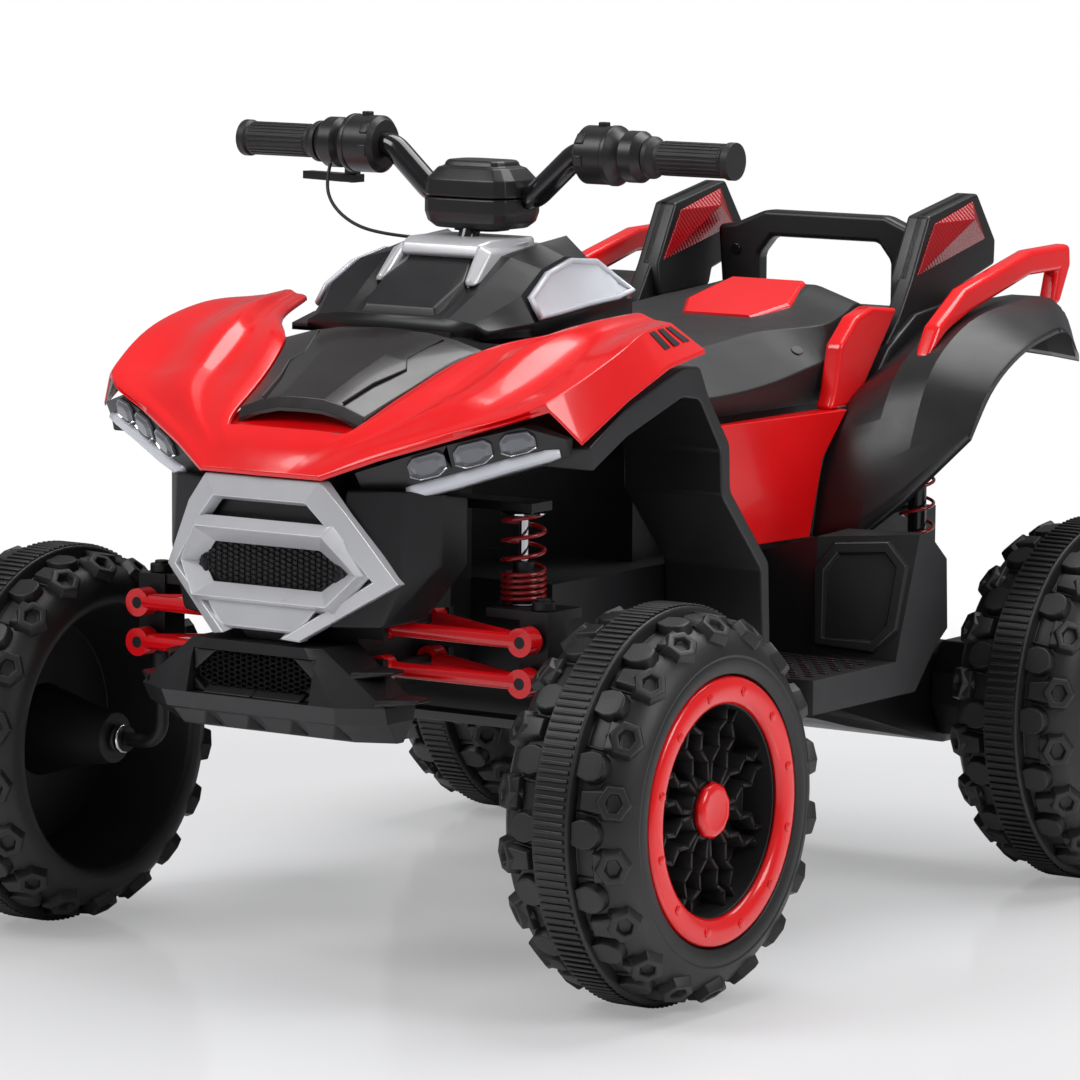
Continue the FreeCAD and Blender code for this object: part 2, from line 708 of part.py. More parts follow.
mesh_low = block("mesh_low", (-62, 62), (-494, -491), (240.3, 275.7))
node("grille_meshes", group("grille_meshes", [mesh_high, mesh_low]), 2)


def bumper_outline(front_half, front, half, side):
    back = "frame_front - 371 - seat_gap"
    return [(-front_half, front), (front_half, front), (half, side), (half, back), (-half, back), (-half, side)]


bumper = loft("bumper", "XY_Plane", [
    (284.7, bumper_outline(50, -502, 66, -498)),
    (240, bumper_outline(88, -513, 124, -492)),
    (226, bumper_outline(86, -508, 122, -485)),
    (206, bumper_outline(80, -472, 112, -457)),
])
bumper_slot = block("bumper_slot", (-62.3, 62.3), (-520, -490.7), (240, 276))
bumper_hollow = block("bumper_hollow", (-70, 70), (-486, -440), (224, 272))
bumper = cut("bumper_slotted", bumper, bumper_slot)
node("front_bumper", cut("front_bumper", bumper, bumper_hollow))


# Console: the faceted shroud about the steering column, its trim and the position lamps
def console_outline(stem, crest, shoulder, edge, floor):
    """Half outline points of the shroud, mirrored to both sides."""
    half = [floor, edge, shoulder, crest, stem]
    return [(-u, v) for u, v in half] + list(reversed(half))


console_skin = loft("console_skin", "XZ_Plane", [
    (-305, console_outline((46, 541), (54, 541), (80, 538), (92, 532), (92, 526))),
    (-262, console_outline((46, 563), (60, 566), (98, 560), (112, 538), (112, 526))),
    (-225, console_outline((46, 589), (62, 588), (94, 580), (112, 541), (112, 526))),
    (-185, console_outline((52, 594), (64, 598), (90, 588), (112, 545), (112, 526))),
    (-140, console_outline((40, 590), (62, 602), (84, 584), (112, 548), (112, 526))),
    (-112, console_outline((40, 570), (58, 580), (80, 566), (112, 549), (112, 526))),
])
console_skirt = loft("console_skirt", "XZ_Plane", [
    (-262, [(-140, 518), (140, 518), (140, 524), (-140, 524)]),
    (-205, [(-158, 523), (158, 523), (158, 529), (-158, 529)]),
    (-118, [(-136, 523), (136, 523), (136, 529), (-136, 529)]),
])
pedestal = block("console_pedestal", (-58, 58), (-312, -125), ("frame_top + seat_gap", 530))
console_body = fused("console_body", [console_skin, console_skirt, pedestal])
console_hollow = block("console_hollow", (-46, 46), (-300, -140), (395, 540))
console_body = cut("console_hollowed", console_body, console_hollow)
node("console_shroud", cut("console_shroud", console_body, column_bore("console_drill", size("column_radius") + 5)))
trim_rise = "seat_gap + panel_wall"
trim = loft("trim_skin", "XZ_Plane", [
    (y, [(-half, f"{z} + seat_gap"), (half, f"{z} + seat_gap"), (half, f"{z} + {trim_rise}"),
         (-half, f"{z} + {trim_rise}")])
    for y, half, z in ((-262, 45, 563), (-225, 45, 589), (-185, 51, 594), (-150, 42, 591))
])
trim_notch = block("trim_notch", (-35, 35), (-280, -231), (540, 620))
trim = cut("trim_notched", trim, trim_notch)
node("stem_trim", cut("stem_trim", trim, column_bore("trim_drill", size("column_radius") + 5)))
lamp = loft("position_lamp", "XZ_Plane", [
    (-258, [(102.5, 556), (112, 541), (115, 542.5), (105.5, 557.5)]),
    (-225, [(97.5, 574.5), (112, 543.5), (115, 545), (100.5, 576)]),
    (-185, [(93.5, 583), (112, 547.5), (115, 549), (96.5, 584.5)]),
    (-140, [(89, 579), (112, 550), (115, 552), (92, 581)]),
    (-116, [(88, 567), (112, 553), (114, 556), (90, 570)]),
])
node("position_lamps", both_sides("position_lamps", lamp), 2)


# Seat, its red pad, and the red panels under and beside it
def seat_outline(base, half, waist, waist_z, brim, brim_z, crown):
    half_points = [(half, base), (waist, waist_z), (brim, brim_z), (brim / 2, crown)]
    return [(-u, v) for u, v in half_points] + list(reversed(half_points))


saddle = loft("saddle", "XZ_Plane", [
    (-110, seat_outline("seat_base", 92, 104, 455, 88, 474, 480)),
    (0, seat_outline("seat_base", 122, 130, 456, 104, 485, 493)),
    (120, seat_outline("seat_base", 124, 132, 466, 108, 499, 507)),
    (200, seat_outline("seat_base", 124, 132, 478, 102, 511, 521)),
    (290, seat_outline("seat_base + 4", 98, 104, 490, 84, 521, 532)),
    (350, seat_outline("seat_base + 34", 78, 84, 488, 66, 508, 518)),
], "middle")
saddle_hollow = block("saddle_hollow", (-88, 88), (-90, 250), ("seat_base - 5", "seat_base + 26"), "middle")
node("seat", cut("seat", saddle, saddle_hollow))
pad = loft("pad", "XZ_Plane", [
    (203, [(-38, 521.7), (38, 521.7), (38, 524.4), (-38, 524.4)]),
    (238, [(-55, 526), (55, 526), (50, 530), (-50, 530)]),
    (287, [(-42, 532), (42, 532), (36, 534.5), (-36, 534.5)]),
], "middle")
node("seat_pad", pad)
side_panel = loft("side_panel", "XY_Plane", [
    ("tub_deck + seat_gap", [(136, -70), (140, -70), (149, 70), (154, 118), (136, 118)]),
    (392, [(136, -98), (140, -98), (153, 82), (157, 134), (136, 134)]),
    (433, [(136, -104), (140, -104), (155, 96), (159, 172), (136, 172)]),
], "middle")
node("side_panels", both_sides("side_panels", side_panel), 2)
surround = prism("surround", "YZ_Plane", 134, 152, [
    (154, 433.3), (162, 448), (172, 490), (200, 514), (226, 521), (271, 517), (212, 448), (198, 433.3)], "middle")
node("seat_surrounds", both_sides("seat_surrounds", surround), 2)

# Rear body: deck, fenders and tail fins in one black moulding
FENDER_SHIFT = (7, -5)
fender = sheet_loft("fender", "YZ_Plane", [
    (153, [(124, 324), (143, 392), (180, 436), (236, 464), (320, 500), (425, 508), (462, 470)]),
    (200, [(124, 328), (148, 400), (186, 465), (240, 498), (320, 516), (435, 512), (466, 466)]),
    (235, [(140, 360), (157, 415), (188, 470), (240, 504), (320, 521), (425, 512), (455, 464)]),
    (284, [(170, 418), (180, 430), (204, 456), (256, 486), (300, 498), (345, 500), (365, 480)]),
], FENDER_SHIFT, "rear")
fin = prism("tail_fin", "YZ_Plane", 126, 150, [
    (227, 428), (240, 471), (275, 506), (298, 541), (328, 597), (416, 614), (451, 569), (450, 546), (394, 531),
    (389, 516), (394, 500), (349, 486), (279, 455)], "rear")
LENS_FACE = [(307, 545), (337, 589), (404, 606), (427, 571)]
lens_hole = prism("lens_hole", "YZ_Plane", 120, 160, LENS_FACE, "rear")
fin_open = cut("fin_open", fin, lens_hole)
deck = block("rear_deck", (-140, 140), (352, 440), (470, 502), "rear")
deck_post = block("deck_post", (-110, 110), (352.5, 398), ("tub_deck + seat_gap", 474), "rear")
deck_foot = block("deck_foot", (124, 155), (324, 420), (481, 505), "rear")
fin_foot = prism("fin_foot", "YZ_Plane", 138, 157, [
    (212, 436), (222, 452), (250, 482), (298, 510), (352, 517), (352, 486), (300, 472), (236, 446)], "rear")
rear_pieces = [fender, fin_open, deck_foot, fin_foot]
rear_pieces += [mirrored(item, item.Name + "_far") for item in (fender, fin_open, deck_foot, fin_foot)]
node("rear_body", fused("rear_body", [deck, deck_post] + rear_pieces))
LENS_INSET = [(y + dy, z + dz) for (y, z), (dy, dz) in
              zip(LENS_FACE, ((0.7, 0.4), (0.3, -0.5), (-0.3, -0.5), (-0.7, 0.0)))]
tail_lens = prism("tail_lens", "YZ_Plane", 127, 152, LENS_INSET, "rear")
node("tail_lamp_lenses", both_sides("tail_lamp_lenses", tail_lens), 2)
HANDLE = [(-112, 502.3), (-118, 574), (-98, 577), (-66, 590), (66, 590), (98, 577), (118, 574), (112, 502.3),
          (72, 502.3), (72, 548), (58, 565), (-58, 565), (-72, 548), (-72, 502.3)]
node("backrest_handle", prism("backrest_handle", "XZ_Plane", 388, 408, HANDLE, "rear"))
screws = []
for x in (-96, 96):
    for z in (520, 552):
        foot = Vector(x, 388, z)
        screws.append(solid("handle_screw", rod(foot, foot - Vector(0, 2.5, 0), 5), "rear"))
node("body_screws", group("body_screws", screws), 4)
rail = prism("rail", "YZ_Plane", 206, 224, [
    (203, 479.3), (222, 508), (270, 538), (390, 566), (462, 568), (464, 548), (444, 512.7), (430, 512.7),
    (440, 544), (388, 543), (278, 516), (246, 504.6), (236, 500.3)], "rear")
node("rear_rails", both_sides("rear_rails", rail), 2)

# Footboards: the treaded steps with their tall rear walls
footboard = loft("footboard", "YZ_Plane", [
    ("tub_half + seat_gap", [(-92, "tub_bottom"), (80, "tub_bottom"), (100, 238), (110, 250), (110, 312),
                             (100, 318), (47, 318), (40, 230), (-92, 230)]),
    ("tub_half + 57", [(-92, "tub_bottom"), (80, "tub_bottom"), (108, 238), (118, 250), (116, 314), (100, 336),
                       (47, 334), (40, 230), (-92, 230)]),
    ("tub_half + 138", [(-90, "tub_bottom"), (81, "tub_bottom"), (118, 237), (137, 250), (134, 312), (102, 338),
                        (86, 338), (48, 230), (-90, 230)]),
], "middle")
node("footboards", both_sides("footboards", footboard), 2)

# Rear suspension: the swinging axle housing, dead axle, gear motors, shocks and springs
swing = prism("swing_housing", "YZ_Plane", "-swing_half", "swing_half", [
    ("swing_pivot_y - 16", "swing_pivot_z - 10"), ("swing_pivot_y - 6", "swing_pivot_z - 18"),
    (160, 148), (330, 112), (374, 112), (388, 165), (374, 198), (340, 206), (270, 206), (160, 194),
    ("swing_pivot_y + 6", "swing_pivot_z + 15"), ("swing_pivot_y - 6", "swing_pivot_z + 15"),
    ("swing_pivot_y - 16", "swing_pivot_z + 6")], "middle")
drill_x = Vector(1, 0, 0)
reach = size("swing_half") + 90
swing_tools = []
for x in (-112, 100):
    room = Vector(x - ease - 1, size("swing_pivot_y") - 20, size("swing_pivot_z") - 24)
    swing_tools.append(solid("ear_room", Part.makeBox(14 + 2 * ease, 40, 60, room), "middle"))
pivot_bore = rod(Vector(-reach, pivot.y, pivot.z), Vector(reach, pivot.y, pivot.z), size("axle_radius") + slack)
swing_tools.append(solid("pivot_bore", pivot_bore, "middle"))
shaft = Vector(0, DRAWN_AXLE["rear"], DRAWN_RADIUS)
axle_bore = rod(shaft - drill_x * reach, shaft + drill_x * reach, size("axle_radius") + slack)
swing_tools.append(solid("axle_bore", axle_bore, "middle"))
shock_y = DRAWN_AXLE["rear"] + size("rear_shock_y")
for sign in (-1, 1):
    foot = Vector(sign * size("rear_shock_x"), shock_y, 190)
    swing_tools.append(solid("rod_cup", rod(foot, foot + Vector(0, 0, 60), size("rear_rod_radius") + 2.5), "middle"))
node("swing_arm", cut("swing_arm", swing, fused("swing_drills", swing_tools)))
axle_tip = size("wheel_plane") + size("hub_outboard") - 0.5
node("rear_axle", solid("rear_axle", rod(shaft - drill_x * axle_tip, shaft + drill_x * axle_tip,
                                         size("axle_radius")), "middle"))
gear_case = prism("gear_case", "YZ_Plane", "swing_half + seat_gap", "wheel_plane - hub_inboard - seat_gap", [
    (306, 150), (324, 120), (372, 120), (392, 150), (392, 182), (372, 208), (324, 208), (306, 182)], "rear")
gear_drill = solid("gear_drill", axle_bore, "middle")
gear_case = cut("gear_case_bored", gear_case, gear_drill)
node("gear_motors", both_sides("gear_motors", gear_case), 2)
rear_top = Vector(size("rear_shock_x"), shock_y, size("rear_shock_top"))
tube_shape = rod(rear_top - Vector(0, 0, 140), rear_top, size("rear_tube_radius"))
rod_shape = rod(rear_top - Vector(0, 0, 197), rear_top - Vector(0, 0, 100), size("rear_rod_radius"))
rear_shock = solid("rear_shock", tube_shape.fuse(rod_shape).removeSplitter(), "middle")
node("rear_shocks", both_sides("rear_shocks", rear_shock), 2)
rear_turns = 9
rear_foot = 206 + ease + size("rear_spring_wire") / 2
rear_room = size("rear_shock_top") - ease - size("rear_spring_wire") / 2 - rear_foot
rear_centre = Vector(size("rear_shock_x"), shock_y, rear_foot)
rear_coil = solid("rear_coil", coil("rear_spring", rear_centre, size("rear_spring_radius"),
                                    size("rear_spring_wire"), [rear_room / rear_turns] * rear_turns), "middle")
node("rear_springs", both_sides("rear_springs", rear_coil), 2)


# Steering: raked column with its ball arm, bent bar, clamp halves, grips, pods and controls
bar_y = axle + size("bar_y")
bar_z = size("bar_z")
bar_path = bent_wire([
    Vector(-size("bar_half"), bar_y, bar_z), Vector(-96, bar_y, bar_z), Vector(-52, bar_y, size("bar_low_z")),
    Vector(52, bar_y, size("bar_low_z")), Vector(96, bar_y, bar_z), Vector(size("bar_half"), bar_y, bar_z)], 24)
node("handlebar", solid("handlebar", tube_along(bar_path, size("bar_radius"))))
column_shape = rod(column_foot - column_lean * 6, column_head, size("column_radius"))
ball = Vector(0, tie_y, tie_z)
ball_arm = Part.makeBox(12, size("steer_arm") + 6, 6, Vector(-6, axle, column_foot.z))
column_shape = column_shape.fuse(ball_arm)
column_shape = column_shape.fuse(rod(Vector(0, tie_y, column_foot.z + 3), ball, 4))
column_shape = column_shape.fuse(Part.makeSphere(ball_radius, ball))
node("steering_column", solid("steering_column", column_shape.removeSplitter()))


def clamp_outline(half, front, back, corner):
    return [(-half + corner, front), (half - corner, front), (half, front + corner), (half, back - corner),
            (half - corner, back), (-half + corner, back), (-half, back - corner), (-half, front + corner)]


cap_lower = loft("cap_lower_skin", "XY_Plane", [
    (604, clamp_outline(42, bar_y - 30, bar_y + 26, 16)),
    (614, clamp_outline(52, bar_y - 40, bar_y + 34, 20)),
    ("bar_low_z", clamp_outline(52, bar_y - 40, bar_y + 34, 20)),
])
cap_upper = loft("cap_upper_skin", "XY_Plane", [
    ("bar_low_z + seat_gap / 3", clamp_outline(52, bar_y - 40, bar_y + 34, 20)),
    (656, clamp_outline(47, bar_y - 36, bar_y + 30, 20)),
    (668, clamp_outline(30, bar_y - 26, bar_y + 20, 12)),
])
bar_room = solid("bar_room", tube_along(bar_path, size("bar_radius") + 0.1))
cap_lower = cut("cap_lower_barred", cap_lower, bar_room)
column_room = solid("column_room", rod(column_foot, column_head + column_lean * 0.2, size("column_radius") + 0.1))
node("cap_lower", cut("cap_lower", cap_lower, column_room))
bar_room_top = solid("bar_room_top", tube_along(bar_path, size("bar_radius") + 0.1))
node("cap_upper", cut("cap_upper", cap_upper, bar_room_top))


def on_bar(label, profile, side):
    """A sleeve turned about the straight end of the bar."""
    item = turned(label, profile)
    turn = 0 if side > 0 else 180
    item.Placement = Placement(Vector(0, 0, 0), Rotation(Vector(0, 0, 1), turn))
    bind(item, ".Placement.Base.y", "axle_front + bar_y")
    bind(item, ".Placement.Base.z", f"wheel_radius - {DRAWN_RADIUS} + bar_z")
    return item


sleeve = "bar_radius + seat_gap / 3"
GRIP = [("grip_start", sleeve), ("grip_start", "grip_radius + 4"), ("grip_start + 5", "grip_radius + 4"),
        ("grip_start + 10", "grip_radius"), ("bar_half - 6", "grip_radius"), ("bar_half - 4", "grip_radius + 2"),
        ("bar_half + 3", "grip_radius + 2"), ("bar_half + 3", 0), ("bar_half + seat_gap", 0),
        ("bar_half + seat_gap", sleeve)]
node("grips", group("grips", [on_bar("grip", GRIP, side) for side in (1, -1)]), 2)
POD = [("pod_start", sleeve), ("pod_start", "pod_radius - 4"), ("pod_start + 4", "pod_radius"),
       ("pod_start + 34", "pod_radius"), ("pod_start + 38", "pod_radius - 4"), ("pod_start + 42", "pod_radius - 7"),
       ("pod_start + 46", "pod_radius - 3"), ("pod_start + 58", "pod_radius - 3"),
       ("pod_start + 65", "pod_radius - 8"), ("pod_start + 65", sleeve)]
pods = [on_bar("pod", POD, side) for side in (1, -1)]
button_x = size("pod_start") + 19
button_hole = rod(Vector(0, bar_y, bar_z + 14), Vector(0, bar_y, bar_z + 40), size("button_radius") + 0.2)
lever_pin = Vector(-(size("pod_start") + 46), bar_y + 15, bar_z - 36)
boss = rod(lever_pin + Vector(0, 0, 8), lever_pin + Vector(0, 0, 20), 7)
boss = boss.fuse(rod(lever_pin, lever_pin + Vector(0, 0, 10), 3))
pod_solids = []
for item, sign in zip(pods, (1, -1)):
    hole_shape = button_hole.copy()
    hole_shape.translate(Vector(sign * button_x, 0, 0))
    bored = cut("pod_bored", item, solid("button_hole", hole_shape))
    pod_solids.append(bored)
pod_solids[1] = fused("pod_with_boss", [pod_solids[1], solid("lever_boss", boss)])
node("switch_pods", group("switch_pods", pod_solids), 2)
BUTTON_SIDES = {"horn_button": 1, "music_button": -1}
for name, sign in BUTTON_SIDES.items():
    foot = Vector(sign * button_x, bar_y, bar_z + 14.5 + size("button_travel"))
    head = Vector(foot.x, bar_y, bar_z + size("pod_radius") + size("button_travel") + 1)
    node(name, solid(name, rod(foot, head, size("button_radius"))))
lever_blade = prism("lever_blade", "XY_Plane", lever_pin.z + 0.6, lever_pin.z + 7.6, [
    (lever_pin.x + 8, lever_pin.y - 7), (lever_pin.x + 8, lever_pin.y + 7), (lever_pin.x - 30, lever_pin.y + 14),
    (lever_pin.x - 56, lever_pin.y + 18), (lever_pin.x - 60, lever_pin.y + 8), (lever_pin.x - 30, lever_pin.y),
    (lever_pin.x - 8, lever_pin.y - 7)])
lever_bore = solid("lever_bore", rod(lever_pin - Vector(0, 0, 9), lever_pin + Vector(0, 0, 20), 3 + slack))
node("throttle_lever", cut("throttle_lever", lever_blade, lever_bore))

# Throttle cable: from the right pod in a slack curve to the shroud beside the stem
CABLE = [Vector(-152, -190, 657.3), Vector(-151, -199, 640), Vector(-138, -206, 621), Vector(-114, -207, 606),
         Vector(-86, -202, 599.5), Vector(-62, -195, 597.8)]


def cord_wire(points):
    """Runs joined by arcs as large as the runs allow; prints the radii."""
    edges = []
    start = points[0]
    radii = []
    for before, corner, after in zip(points, points[1:], points[2:]):
        back = before - corner
        ahead = after - corner
        reach = 0.45 * min(back.Length, ahead.Length)
        half = back.getAngle(ahead) / 2
        radius = reach * math.tan(half)
        radii.append(round(radius))
        back.normalize()
        ahead.normalize()
        entry = corner + back * reach
        leave = corner + ahead * reach
        crown = corner + (back + ahead).normalize() * (radius / math.sin(half) - radius)
        edges.append(Part.LineSegment(start, entry).toShape())
        edges.append(Part.Arc(entry, crown, leave).toShape())
        start = leave
    edges.append(Part.LineSegment(start, points[-1]).toShape())
    print("throttle_cable: bend radii", radii)
    return Part.Wire(edges)


cable_path = cord_wire(CABLE)
cable_shape = tube_along(cable_path, size("cable_diameter") / 2)
node("throttle_cable", solid("throttle_cable", cable_shape))

doc.recompute()
faults = [item.Label for item in doc.Objects if "Invalid" in item.State or "Error" in item.State]
for name, (item, count) in nodes.items():
    shape = item.Shape
    if shape.isNull() or not shape.isValid() or len(shape.Solids) != count or shape.Volume <= 0:
        faults.append(f"{name}: {0 if shape.isNull() else len(shape.Solids)} solids, expected {count}")
section = math.pi * (size("cable_diameter") / 2) ** 2
if abs(cable_shape.Volume - section * cable_path.Length) > 0.02 * cable_shape.Volume:
    faults.append("throttle_cable: volume differs from its section times its length")
if faults:
    raise RuntimeError("faults: " + "; ".join(faults))
for name, (item, count) in nodes.items():
    item.Shape.exportStep(f"parts/{name}.step")
print(len(nodes), "pieces written")
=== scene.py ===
# %% [markdown]
# # A child's quad bike
# The imported solids come in first and stay where they are.

# %% Load the frame
import json
import math

import bmesh
import bpy
from mathutils import Matrix, Vector


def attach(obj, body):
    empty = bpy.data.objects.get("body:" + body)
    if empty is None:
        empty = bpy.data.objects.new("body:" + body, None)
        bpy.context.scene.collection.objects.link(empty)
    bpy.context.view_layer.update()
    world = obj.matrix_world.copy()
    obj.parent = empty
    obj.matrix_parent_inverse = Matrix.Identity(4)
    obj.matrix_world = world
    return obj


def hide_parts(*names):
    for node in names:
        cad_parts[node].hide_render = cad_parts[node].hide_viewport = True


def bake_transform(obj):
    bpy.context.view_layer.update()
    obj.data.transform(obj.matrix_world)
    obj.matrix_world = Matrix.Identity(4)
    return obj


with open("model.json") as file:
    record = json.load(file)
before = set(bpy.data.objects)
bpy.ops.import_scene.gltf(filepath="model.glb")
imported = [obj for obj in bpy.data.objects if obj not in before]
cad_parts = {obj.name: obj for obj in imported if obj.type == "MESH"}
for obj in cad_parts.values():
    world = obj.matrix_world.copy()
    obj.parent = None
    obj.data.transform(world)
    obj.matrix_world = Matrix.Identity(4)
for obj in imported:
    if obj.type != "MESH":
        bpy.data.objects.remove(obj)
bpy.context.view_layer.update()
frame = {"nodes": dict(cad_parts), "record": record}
scene = bpy.context.scene
body_of_node = {}
for body_name, members in frame["record"]["behaviour"]["bodies"].items():
    for member in members:
        body_of_node[member] = body_name
print("nodes:", len(body_of_node))

# %% [markdown]
# ## Camera
# The bike was drawn in millimetres with its axles 11.5 mm further forward, so one helper turns a
# drawing place into metres.  The camera was fitted to mirrored points of the bike and to its wheels: a
# long lens, far off, in front of the rider's left.  A constraint could aim it, but a matrix made from
# three directions also holds the slight roll.

# %% Camera
MM = 0.001
DRAWING_SHIFT = 11.5
SENSOR_WIDTH = 36
PHOTO_WIDTH = 1080
FOCAL_PIXELS = 5892
CAMERA_SPOT = (2863, -4343, 979)


def place(x, y, z):
    """A place on the drawing, in metres."""
    return Vector((x, y + DRAWING_SHIFT, z)) * MM


yaw = math.radians(33.91)
pitch = math.radians(7.23)
roll = math.radians(0.53)
level = math.cos(pitch)
ahead = Vector((-math.sin(yaw) * level, math.cos(yaw) * level, -math.sin(pitch)))
level_right = ahead.cross(Vector((0, 0, 1))).normalized()
level_up = level_right.cross(ahead)
right = math.cos(roll) * level_right + math.sin(roll) * level_up
up = -math.sin(roll) * level_right + math.cos(roll) * level_up
lens = bpy.data.cameras.new("photo_camera")
lens.sensor_width = SENSOR_WIDTH
lens.lens = SENSOR_WIDTH * FOCAL_PIXELS / PHOTO_WIDTH
camera = bpy.data.objects.new("photo_camera", lens)
scene.collection.objects.link(camera)
camera_turn = Matrix((right, up, -ahead)).transposed().to_4x4()
camera.matrix_world = Matrix.Translation(place(*CAMERA_SPOT)) @ camera_turn
scene.camera = camera
print("lens", round(lens.lens, 1))

# %% [markdown]
# ## Light and floor
# A white studio: the backdrop is white to the camera, dim in reflections so that black stays black, and
# a soft grey as a lamp.  Three large lamps model the facets, and the floor fades into white.  One white
# world would be simpler, but then every black part would shine grey.  Shader nodes are made by one
# helper that also sets their inputs.

# %% Backdrop
def shader_node(tree, kind, **inputs):
    """A new shader node with the inputs that are given by name, an underline standing for a space."""
    node = tree.nodes.new("ShaderNode" + kind)
    for name, value in inputs.items():
        node.inputs[name.replace("_", " ")].default_value = value
    return node


WHITE = (1, 1, 1, 1)
scene.view_settings.view_transform = "Standard"
world = bpy.data.worlds.new("studio")
scene.world = world
world.use_nodes = True
sky_tree = world.node_tree
sky_tree.nodes.clear()
ray = shader_node(sky_tree, "LightPath")
backdrop = shader_node(sky_tree, "Background", Color=WHITE, Strength=1.0)
reflected = shader_node(sky_tree, "Background", Color=(0.95, 0.97, 1, 1), Strength=0.22)
ambient = shader_node(sky_tree, "Background", Color=(0.97, 0.98, 1, 1), Strength=0.42)
mirror_mix = shader_node(sky_tree, "MixShader")
view_mix = shader_node(sky_tree, "MixShader")
sky = shader_node(sky_tree, "OutputWorld")
sky_tree.links.new(ray.outputs["Is Glossy Ray"], mirror_mix.inputs[0])
sky_tree.links.new(ambient.outputs[0], mirror_mix.inputs[1])
sky_tree.links.new(reflected.outputs[0], mirror_mix.inputs[2])
sky_tree.links.new(ray.outputs["Is Camera Ray"], view_mix.inputs[0])
sky_tree.links.new(mirror_mix.outputs[0], view_mix.inputs[1])
sky_tree.links.new(backdrop.outputs[0], view_mix.inputs[2])
sky_tree.links.new(view_mix.outputs[0], sky.inputs[0])


# %% Lamps
def lamp(name, spot, target, size, watts):
    light = bpy.data.lights.new(name, "AREA")
    light.size = size
    light.energy = watts
    item = bpy.data.objects.new(name, light)
    item.location = spot
    item.rotation_euler = (Vector(target) - Vector(spot)).to_track_quat("-Z", "Y").to_euler()
    scene.collection.objects.link(item)


lamp("key_lamp", (-1.4, -2.4, 2.9), (0, 0, 0.3), 1.6, 55)
lamp("side_lamp", (2.9, -0.3, 2.2), (0, 0, 0.3), 1.4, 40)
lamp("top_lamp", (0.2, 0.9, 2.9), (0, 0, 0.4), 2.0, 60)

# %% Floor
FLOOR_HALF = 40
floor_mesh = bpy.data.meshes.new("floor")
floor_bm = bmesh.new()
bmesh.ops.create_grid(floor_bm, x_segments=1, y_segments=1, size=FLOOR_HALF)
floor_bm.to_mesh(floor_mesh)
floor_bm.free()
floor = bpy.data.objects.new("floor", floor_mesh)
scene.collection.objects.link(floor)
pale = bpy.data.materials.new("pale_floor")
pale.use_nodes = True
floor_tree = pale.node_tree
floor_tree.nodes.clear()
ray = shader_node(floor_tree, "LightPath")
floor_place = shader_node(floor_tree, "TexCoord")
distance = shader_node(floor_tree, "VectorMath")
distance.operation = "LENGTH"
fade = shader_node(floor_tree, "MapRange", From_Min=0.75, From_Max=2.0, To_Min=0.3)
fade.interpolation_type = "SMOOTHSTEP"
view_only = shader_node(floor_tree, "Math")
view_only.operation = "MULTIPLY"
surface = shader_node(floor_tree, "BsdfPrincipled", Base_Color=(0.90, 0.90, 0.92, 1), Roughness=0.12,
                      Specular_IOR_Level=1.0)
glow = shader_node(floor_tree, "Emission", Color=WHITE, Strength=1.0)
fade_mix = shader_node(floor_tree, "MixShader")
out = shader_node(floor_tree, "OutputMaterial")
floor_tree.links.new(floor_place.outputs["Object"], distance.inputs[0])
floor_tree.links.new(distance.outputs["Value"], fade.inputs["Value"])
floor_tree.links.new(fade.outputs["Result"], view_only.inputs[0])
floor_tree.links.new(ray.outputs["Is Camera Ray"], view_only.inputs[1])
floor_tree.links.new(view_only.outputs[0], fade_mix.inputs[0])
floor_tree.links.new(surface.outputs[0], fade_mix.inputs[1])
floor_tree.links.new(glow.outputs[0], fade_mix.inputs[2])
floor_tree.links.new(fade_mix.outputs[0], out.inputs["Surface"])
floor_mesh.materials.append(pale)
print("lamps:", len(bpy.data.lights))

# %% [markdown]
# ## Finishes
# Nearly everything is moulded plastic, so one recipe serves: a colour that drifts a little, a
# roughness that is broken up by handling, and a fine grain in the surface.  Painted steel and plated
# steel use the same recipe with other numbers, and the tail lenses get fine slanted ribs besides.
# Pictures could give the grain, but noise on the object's own coordinates has no seams.


